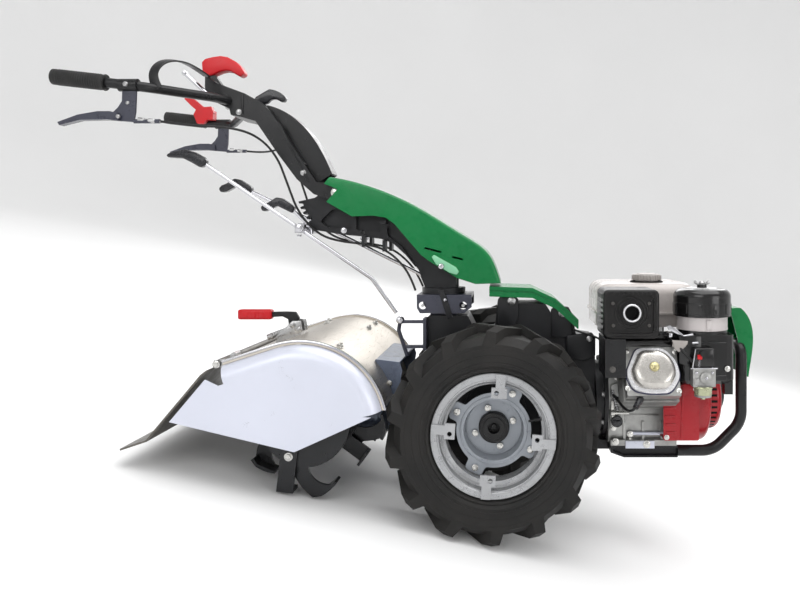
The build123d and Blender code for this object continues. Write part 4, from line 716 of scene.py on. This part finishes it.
def dress_air_cleaner():
    x, y, top = CLEANER
    nut = Work()
    nut.turned([(0, 8), (7, 8), (8, 14), (5, 18), (0, 18)], facing(x, y, top, UPWARD), 24)
    for side in (-1, 1):
        nut.plate([(side * 4, 10), (side * 14, 22), (side * 20, 22), (side * 20, 14), (side * 8, 8)], -1.6,
                  1.6, 1.2, 2, shift(x, y, top - 2))
    nut.turned([(0, 0), (37, 0), (38, 0.8), (36, 1.8), (14, 2.2), (0, 2.2)], facing(x, y, top, UPWARD), 56)
    nut.done("wing_nut", "zinc")
    lines = Work()
    lines.ring(69.6, 1.2, facing(x, y, 519, UPWARD), 80)
    lines.ring(69.6, 0.9, facing(x, y, 547, UPWARD), 80)
    for i in range(12):
        turn = shift(x, y, 0) @ Matrix.Rotation(2 * pi * i / 12 + 0.2, 4, "Z")
        lines.block((68.5, -5, 521), (71, 5, 545), 1.2, turn)
    lines.block((476, -198, 372), (560, -195, 376), 1)
    lines.block((500, -198, 452), (560, -195, 456), 1)
    lines.rod(564, -194.5, 391, (0.1, -1, 0), 9, 3, 24)
    lines.done("cleaner_ribs", "cleaner")
    band = Work()
    for z in (482, 512):
        band.ring(62, 1.2, facing(x, y, z, UPWARD), 64)
    band.block((-6, -3, 486), (6, 1.5, 508), 1.2, shift(x, y - 62, 0))
    band.done("band_edges", "band")
    bolts = Work()
    bolts.bolt(564, -197.4, 391, (0.1, -1, 0), 5.5)
    bolts.done("cleaner_bolt", "nut")
    levers = Work()
    levers.plate([(428, 461), (467, 459), (466, 451), (453, 437), (445, 432), (435, 439)], -204, -201, 2.4, 3)
    levers.block((430, -202, 444), (462, -196, 452), 1)
    levers.done("governor_plate", "cap")
    rods = Work()
    rods.rod(426, -186, 490, RIGHT, 5, 5, 18)
    rods.plate([(418, 494), (436, 491), (462, 470), (480, 476), (486, 470), (466, 461), (444, 474),
                (424, 484)],
               -190, -186, 1)
    rods.turned([(0, 0), (3.5, 0), (3.5, 24), (0, 25)], facing(458, -193, 468, (1, 0, 0.2)), 16)
    rods.rod(478, -199, 452, (1, 0, 0.1), 4, 14, 16)
    rods.block((424, -192, 466), (432, -146, 476), 1)
    rods.done("choke_levers", "chrome")


def dress_carburettor():
    x, y = CARBURETTOR_X, CARBURETTOR_Y
    front = y - 13
    body = Work()
    body.turned([(0, 0), (14, 0), (14, 6), (11, 8), (0, 8)], facing(x + 3, front + 1, 374, RIGHT), 28)
    body.rod(x - 12, y, 395, UPWARD, 8, 22, 20)
    body.rod(x + 14, y, 395, UPWARD, 6, 16, 20)
    body.block((476, front - 3, 356), (488, front + 3, 372), 1.5)
    body.done("carburettor_casting", "alloy")
    bowl = Work()
    bowl.turned([(22, 26), (22.6, 22), (21, 19), (20.8, 6), (17, 1), (10, -2), (0, -2)],
                facing(x, y, 327, UPWARD), 40)
    bowl.ring(21.6, 1.8, facing(x, y, 350, UPWARD), 40)
    bowl.bolt(x, y, 326, (0, 0, -1), 6.5)
    bowl.done("carburettor_bowl", "bowl")
    bits = Work()
    bits.block((468, front - 3, 395), (532, front + 10, 398), 0.8)
    bits.screw(482, front - 0.5, 386, RIGHT, 3.5)
    bits.screw(520, front - 0.5, 386, RIGHT, 3.5)
    bits.screw(504, front - 7, 374, RIGHT, 4)
    bits.rod(474, front + 4, 396, (0.16, 0, 1), 1.8, 46, 12)
    bits.rod(522, front + 5, 396, (-0.1, 0.1, 1), 1.8, 40, 12)
    for i in range(8):
        bits.ring(3.6, 0.7, facing(x - 12 + i * 0.2, front + 5, 402 + 3.2 * i, (0.1, 0, 1)), 14, 6)
    bits.done("carburettor_linkage", "chrome")
    # A black block and stub behind the carburettor: the intake elbow, and painted shade filling the shaded
    # space round it
    dark = Work()
    dark.block((478, front + 2, 398), (526, -196, 444), 4, segments=3)
    dark.rod(496, front + 3, 432, RIGHT, 7, 12, 20)
    dark.done("intake_elbow_and_shade", "cleaner")
    tap = Work()
    tap.block((484, front - 5, 418), (495, front + 2, 429), 1.5)
    tap.done("choke_tab", "red_plastic")


def dress_starter():
    x, side = SHROUD_FRONT_X, SHROUD_SIDE_Y
    # Near-black strips round the starter cup stand for its slots: painted shade inside the openings
    slots = Work()
    for i in range(36):
        turn = shift(0, 0, CRANK_Z) @ Matrix.Rotation(radians(10 * i), 4, "X")
        slots.block((x + 3, -3, 87.6), (x + 21, 3, 88.5), 0.3, turn)
    slots.done("starter_slot_shade", "dark")
    rim = Work()
    rim.ring(100, 1.6, facing(x + 0.4, 0, CRANK_Z, FORWARD), 72)
    rim.ring(88, 1.4, facing(x + 1.5, 0, CRANK_Z, FORWARD), 72)
    rim.turned([(0, 0), (27, 0), (26, 1.6), (22, 2.4), (0, 2.4)], facing(x + 35.6, 0, CRANK_Z, FORWARD), 48)
    for i in range(4):
        rim.plate([(424, 222 + 20 * i), (450, 222 + 20 * i), (450, 227 + 20 * i), (424, 227 + 20 * i)],
                  side - 2, side + 1, 1.2)
    rim.plate([(462, 212), (466, 212), (470, 338), (466, 338)], side - 2, side + 1, 1.2)
    rim.done("shroud_beads", "red")
    screws = Work()
    for i in range(3):
        a = radians(60 + 120 * i)
        screws.bolt(x + 0.2, 95 * sin(a), CRANK_Z + 95 * cos(a), FORWARD, 5)
    screws.bolt(500, side, 332, RIGHT, 5)
    screws.bolt(428, side, 212, RIGHT, 5)
    screws.done("shroud_bolts", "nut")
    pull = Work()
    pull.block((562, 40, 378), (584, 78, 390), 4, segments=3)
    pull.rod(573, 59, 362, UPWARD, 2.4, 20, 10)
    pull.done("starter_grip", "knob")


# Front cover and gear case, with the clutch housing's ring of bolts
BELL_FACE_X, BELL_BOLT_R = 280, 98


def dress_front():
    posts = Work()
    posts.plate([(8, 470), (8, 548), (16, 557), (52, 557), (62, 548), (62, 500), (48, 470)], -70, -61, 3, 3)
    posts.plate([(146, 448), (146, 520), (156, 532), (192, 528), (202, 510), (202, 448)], -66, -57, 3, 3)
    posts.plate([(186, 396), (186, 454), (252, 462), (262, 450), (262, 400), (230, 388)], -70, -57, 4, 3)
    posts.done("case_lugs", "cast")
    bolts = Work()
    for x, y, z, size in ((44, -70, 544, 8), (176, -66, 512, 8), (246, -70, 446, 6), (-120, -62, 440, 10),
                          (-120, -62, 330, 10)):
        bolts.bolt(x, y, z, RIGHT, size)
    for x in (-187, -82):
        bolts.rod(x, -66, 532, RIGHT, 4, 6, 12)
    for i in range(8):
        a = radians(45 * i + 12)
        bolts.bolt(BELL_FACE_X, BELL_BOLT_R * sin(a), CRANK_Z + BELL_BOLT_R * cos(a), (-1, 0, 0), 6)
    bolts.done("case_bolts", "zinc")
    wire = [(204, -66, 470), (214, -70, 466), (246, -72, 456), (276, -80, 446), (296, -92, 420)]
    bar("throttle_wire", "chassis", "cable", [wire], 2.6)


# Tiller
ROTOR_X, ROTOR_Z = -444, 270
ROTOR_PHASE = 4.981
FLANGE_FIRST, FLANGE_STEP = 85, 75
HOOD_R = 196
HOOD_SLOPE = tan(radians(18))
HINGE_X = -622
DEPTH_X, DEPTH_Z = -524, 486


def hood_line(y, lift):
    """A line over the hood, round its drum and down its back to the flap's hinge."""
    r = HOOD_R + lift
    points = [polar(ROTOR_X, ROTOR_Z, r, 12 + 8 * i) for i in range(13)]
    x, z = points[-1]
    points += [(x - d, z - d * HOOD_SLOPE) for d in (20, 50, x - HINGE_X)]
    return [(x, y, z) for x, z in points]


def dress_hood():
    bar("hood_bead", "chassis", "chrome", [hood_line(-281, 4.5), hood_line(281, 4.5)], 3.2)
    inner = [hood_line(-262, 0.6), hood_line(262, 0.6)]
    bar("hood_creases", "chassis", "stainless", inner, 1.4)
    bolts = Work()
    for x, y in ((-365, -228), (-365, 228), (-364, 122), (-485, 125), (-500, 214)):
        dx = x - ROTOR_X
        z = ROTOR_Z + sqrt(HOOD_R ** 2 - dx ** 2)
        away = Vector((dx, 0, z - ROTOR_Z)).normalized()
        bolts.bolt(x, y, z - 0.3, away, 8)
        stud = Vector((x, y, z)) + away * 5
        bolts.turned([(0, 0), (3.4, 0), (3.4, 5), (2.6, 6), (0, 6)], facing(*stud, away), 16)
    bolts.bolt(-637, -279, 416, RIGHT, 7)
    bolts.bolt(-637, 279, 416, LEFT, 7)
    for x, z in ((-288, 362), (-262, 344)):
        for side in (-1, 1):
            bolts.bolt(x, side * 140, z, (0, side, 0), 6)
    bolts.done("hood_bolts", "nut")
    clip = Work()
    clip.rod(-604, -262, 434, LEFT, 7, 30, 20)
    clip.block((-612, -262, 424), (-594, -232, 431), 1.5)
    clip.done("hinge_clip", "zinc")


def dress_depth_lever():
    x, z = DEPTH_X, DEPTH_Z
    fork = Work()
    for y in (-88, -38):
        fork.plate([(x - 40, z - 34), (x - 28, z - 22), (x + 4, z + 8), (x + 24, z + 8), (x + 30, z - 20),
                    (x + 10, z - 26)], y, y + 6, 1.4)
    fork.bolt(x + 5, -92, z - 2, RIGHT, 6)
    fork.bolt(x + 22, -87, z - 14, RIGHT, 5.5)
    fork.rod(x - 68, -60, z - 38, (0.94, 0, 0.34), 7.6, 9, 20)
    fork.prism(6, 9, 7, facing(x - 60, -60, z - 35.5, (0.94, 0, 0.34)))
    for i in range(9):
        fork.ring(7.6, 1.3, facing(x - 50 + 4.4 * i, -60, z - 31.6 + 1.6 * i, (0.94, 0, 0.34)), 18, 6)
    fork.done("depth_clamp_fork", "zinc")
    arm = Work()
    arm.plate([(x - 8, z - 20), (x + 13, z - 20), (x + 15, z + 14), (x + 6, z + 29), (x - 20, z + 30),
               (x - 60, z + 29), (x - 60, z + 15), (x - 28, z + 17), (x - 14, z + 10)], -67, -55, 2, 3)
    arm.done("depth_lever_arm", "black")
    sleeve = Work()
    sleeve.block((x - 143, -74, z + 9.5), (x - 55, -48, z + 35.5), 5.5, segments=4)
    for i in range(3):
        sleeve.block((x - 130 + 22 * i, -75, z + 14), (x - 117 + 22 * i, -73, z + 31), 0.8)
    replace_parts(sleeve.done("depth_lever_sleeve", "red_plastic"), "depth_lever_grip")


def dress_rotor():
    """The bolts that hold each pair of hoes on its flange."""
    bolts = Work()
    for side in (-1, 1):
        for n in range(3):
            y = side * (FLANGE_FIRST + FLANGE_STEP * n)
            for k in range(2):
                turn = Matrix.Rotation(radians(60 * (2 - n) + 180 * k - ROTOR_PHASE), 4, "Y")
                place = shift(ROTOR_X, 0, ROTOR_Z) @ turn
                for face, x, z in ((side, -43.5, -73), (-side, -30, -80)):
                    bolts.bolt(*(place @ Vector((x, y + face * 11, z))), (0, face, 0), 8)
    bolts.done("hoe_bolts", "nut", "rotor")


# Column and handlebars. The beams are BEAM_Y either side of the middle.
BEAM_Y, ARM_Y, COVER_TAB_Y = 60, 38, 79


def dress_column():
    tab = Work()
    outline = [(-163, 658), (-157, 664), (-100, 632), (-92, 620), (-98, 612), (-118, 618), (-152, 640)]
    for y in (-COVER_TAB_Y, COVER_TAB_Y - 4):
        tab.plate(outline, y, y + 4, 1.6, 3)
    tab.done("cover_tabs", "pale_green", "column")
    bolts = Work()
    for side in (-1, 1):
        bolts.screw(-138, side * COVER_TAB_Y, 634, (0, side, 0), 8)
        bolts.bolt(-399, side * ARM_Y, 727, (0, side, 0), 6)
        bolts.screw(-352, side * ARM_Y, 706, (0, side, 0), 4)
    bolts.bolt(-500, -96, 732, RIGHT, 8)
    bolts.bolt(-500, -96, 716, (0, 0, -1), 6)
    bolts.rod(-482, -52, 738, (0, 0, -1), 6, 20, 20)
    bolts.done("column_bolts", "chrome", "column")
    latch = Work()
    latch.plate([(-146, 572), (-131, 574), (-108, 502), (-122, 497)], -78, -71, 2, 3)
    latch.done("swivel_latch", "cast")
    shine = Work()
    shine.turned([(0, -12), (7, -10), (10.6, -3), (10.6, 3), (7, 10), (0, 12)], facing(-243, -84, 496, RIGHT),
                 28)
    shine.bolt(-243, -95, 496, RIGHT, 6)
    shine.screw(-128, -78, 547, RIGHT, 4.5)
    shine.done("rod_joint", "chrome")
    pivot = Work()
    for side in (-1, 1):
        pivot.bolt(-415, side * BEAM_Y, 826, (0, side, 0), 10)
    pivot.done("tilt_bolt", "nut", "handlebars")


RAISED_KNOB = [(4, 2), (4, 12), (-4, 19), (-26, 31), (-50, 38), (-71, 34), (-92, 28), (-99, 21), (-92, 17),
               (-76, 16), (-56, 15), (-32, 3), (-12, -9), (-2, -6)]
LOW_KNOB = [(4, 2), (3, 12), (-10, 21), (-28, 32), (-44, 35), (-66, 21), (-79, 16), (-86, 8), (-83, -1),
            (-76, -3), (-64, 0), (-42, 12), (-22, 2), (-2, -8)]


def dress_knobs():
    knobs = Work()
    for x, y, z, outline in ((-744, -84, 897, RAISED_KNOB), (-673, 44, 836, LOW_KNOB),
                             (-543, 0, 782, LOW_KNOB)):
        knobs.plate([(x + a, z + b) for a, b in outline], y - 12, y + 12, 5.5, 4)
    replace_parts(knobs.done("gear_handles", "knob", "column"), "gear_knobs")


def dress_handles():
    hook = Work()
    hook.plate([(-785, 1178), (-776, 1187), (-756, 1192), (-735, 1195), (-716, 1192), (-694, 1180),
                (-680, 1166), (-671, 1151), (-674, 1144), (-684, 1140), (-694, 1146), (-708, 1154),
                (-722, 1156), (-736, 1153), (-750, 1147), (-762, 1143), (-776, 1144), (-783, 1150)], -16, 16,
               8, 4)
    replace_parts(hook.done("lever_handle_red", "red_plastic", "handlebars"), "hook_handle")
    catch = Work()
    catch.plate([(-650, 1076), (-642, 1087), (-622, 1099), (-606, 1108), (-592, 1105), (-578, 1099),
                 (-566, 1090), (-561, 1083), (-566, 1073), (-576, 1074), (-586, 1080), (-596, 1082),
                 (-604, 1078), (-612, 1070), (-626, 1066), (-640, 1064)], -10, 10, 4, 3)
    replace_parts(catch.done("catch_lever", "knob", "handlebars"), "hook_lever")
    strap = [(-786, -248, 1056), (-800, -246, 1080), (-797, -240, 1108), (-786, -215, 1131),
             (-772, -165, 1143), (-762, -110, 1141), (-752, -58, 1130)]
    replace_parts(bar("bail_strap", "handlebars", "black", [strap], 2, 10), "bail_bar")
    lock = Work()
    lock.turned([(0, 0), (5.2, 1), (6, 6), (6, 84), (0, 85)], facing(-806, -68, 1137, (0.72, 0, -0.69)),
                24)
    lock.turned([(0, -4), (7, -3), (8, 2), (6, 8), (0, 9)], facing(-806, -68, 1137, (0.72, 0, -0.69)), 24)
    lock.done("lock_rod", "chrome", "handlebars")
    ribs = Work()
    for side in (-1, 1):
        ribs.block((-661, side * BEAM_Y - 2, 1030), (-655, side * BEAM_Y + 2, 1082), 1)
        ribs.plate([(-566, 1012), (-560, 1006), (-482, 852), (-490, 852)], side * BEAM_Y - 1.5,
                   side * BEAM_Y + 1.5, 0.8)
    ribs.done("beam_ribs", "black", "handlebars")
    screws = Work()
    for side in (-1, 1):
        for x, z in ((-744, 1072), (-668, 1036), (-500, 878)):
            screws.bolt(x, side * BEAM_Y, z, (0, side, 0), 6)
        screws.screw(-842, side * 285, 1059, (0, side, 0), 6)
        screws.screw(-843, side * 273.5, 1018, (0, side, 0), 4.5)
        screws.screw(-862, side * 279.5, 986, (0, side, 0), 5)
        at = facing(-812, side * 270, 979, (0.985, 0, -0.1))
        screws.turned([(0, -8), (5.6, -8), (5.6, 4), (4, 6), (4, 14), (5.6, 16), (5.6, 30), (3.4, 34),
                       (3.4, 44), (0, 44)], at, 20)
    screws.screw(-878, 252, 1084, RIGHT, 6)
    screws.done("handle_fixings", "zinc", "handlebars")
    ends = Work()
    for side in (-1, 1):
        at = facing(-1016, side * 270, 1079, (1, 0, -0.1127))
        ends.ring(17.4, 1.8, at @ shift(0, 0, 121), 32)
        ends.turned([(0, -2.4), (12, -1.6), (16, 0.4), (18.2, 4), (18.2, 8)], at, 32)
        for i in range(18):
            ends.ring(18.1, 0.7, at @ shift(0, 0, 14 + 5.6 * i), 32, 6)
    ends.done("grip_rings", "grip", "handlebars")


# Brake cables: the handlebars' part, and the part that bends over the tilt joint down to the arm's clips.
def dress_cables():
    x, z = -770, 976
    upper = [(x, -270, z), (x + 32, -262, z - 4), (x + 78, -240, z - 6), (x + 122, -206, z - 2),
             (-604, -160, 968), (-575, -116, 944), (-556, -84, 906), (-545, -72, 868)]
    lower = [(-530, -70, 826), (-516, -66, 786), (-492, -60, 748), (-452, -58, 712), (-400, -58, 698),
             (-342, -58, 692), (-290, -60, 680), (-248, -66, 648), (-218, -74, 608), (-204, -82, 572)]
    whole = upper + lower
    piece = bar("brake_cables", None, "cable", [whole, [(x, -y, z) for x, y, z in whole]], 3)
    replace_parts(piece, "cables_upper", "cables_lower")
    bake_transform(piece)


# Floor and lights, in metres
FLOOR_R, COVE_R, WALL_TOP = 6, 3, 9
WORLD_STRENGTH = 0.62


def make_stage():
    """A pale floor that curves up into a wall all round, far enough to walk about the machine."""
    bm = bmesh.new()
    profile = [(0, 0), (FLOOR_R, 0)]
    for i in range(1, 10):
        a = radians(10 * i)
        profile.append((FLOOR_R + COVE_R * sin(a), COVE_R - COVE_R * cos(a)))
    profile.append((FLOOR_R + COVE_R, WALL_TOP))
    verts = [bm.verts.new((r, 0, h + cad_low[2])) for r, h in profile]
    edges = [bm.edges.new(pair) for pair in zip(verts, verts[1:])]
    bmesh.ops.spin(bm, geom=verts + edges, cent=(0, 0, 0), axis=(0, 0, 1), dvec=(0, 0, 0), angle=2 * pi,
                   steps=64, use_merge=True)
    bmesh.ops.remove_doubles(bm, verts=bm.verts, dist=0.0001)
    bmesh.ops.recalc_face_normals(bm, faces=bm.faces)
    bmesh.ops.reverse_faces(bm, faces=bm.faces)
    mesh = bpy.data.meshes.new("studio_floor")
    bm.to_mesh(mesh)
    bm.free()
    smooth(mesh)
    floor = new_object("studio_floor", mesh)
    material, tree, shader, place = node_tree("studio_paper")
    tree.links.new(two_tone(tree, noise(tree, place, 0.6, 2), (0.86, 0.86, 0.86), (0.88, 0.88, 0.88)),
                   shader.inputs["Base Color"])
    set_inputs(shader, {"Roughness": 0.9, "Specular IOR Level": 0.1})
    mesh.materials.append(material)


def soft_light(name, at, towards, width, height, power):
    lamp = bpy.data.lights.new(name, "AREA")
    lamp.shape = "RECTANGLE"
    lamp.size, lamp.size_y = width, height
    lamp.energy = power
    holder = new_object(name, lamp)
    holder.location = at
    holder.rotation_mode = "QUATERNION"
    holder.rotation_quaternion = (Vector(towards) - Vector(at)).to_track_quat("-Z", "Y")


def make_lights():
    world = bpy.data.worlds.new("studio")
    bpy.context.scene.world = world
    world.use_nodes = True
    set_inputs(world.node_tree.nodes["Background"], {"Color": (1, 1, 1, 1), "Strength": WORLD_STRENGTH})
    for number, (x, y) in enumerate(((0, 6.2), (6.2, 0), (0, -6.2), (-6.2, 0))):
        soft_light("wall_wash_%d" % number, (x * 0.55, y * 0.55, 7.5), (x * 1.45, y * 1.45, 2.4), 6, 1.6,
                   30)
    soft_light("top_box", (0.3, -0.6, 4.6), (0, 0, 0.3), 5, 4, 165)
    soft_light("front_box", (-2.2, -4.4, 2.4), (0, 0, 0.4), 3, 2.4, 58)
    soft_light("engine_box", (3.2, -3.2, 1.8), (0.4, 0, 0.4), 2, 2, 34)
    soft_light("back_box", (0.5, 4.2, 3), (0, 0, 0.4), 4, 2.2, 90)
    bpy.context.scene.view_settings.view_transform = "Standard"


make_camera()
for node_name, node_piece in frame["nodes"].items():
    dress_node(node_name, node_piece)
dress_wheel(-1, "right")
dress_wheel(1, "left")
for step in (dress_cylinder_head, dress_crankcase, dress_tank, dress_muffler, dress_air_cleaner,
             dress_carburettor, dress_starter, dress_front, dress_hood, dress_depth_lever, dress_rotor,
             dress_column, dress_knobs, dress_handles, dress_cables, make_stage, make_lights):
    step()
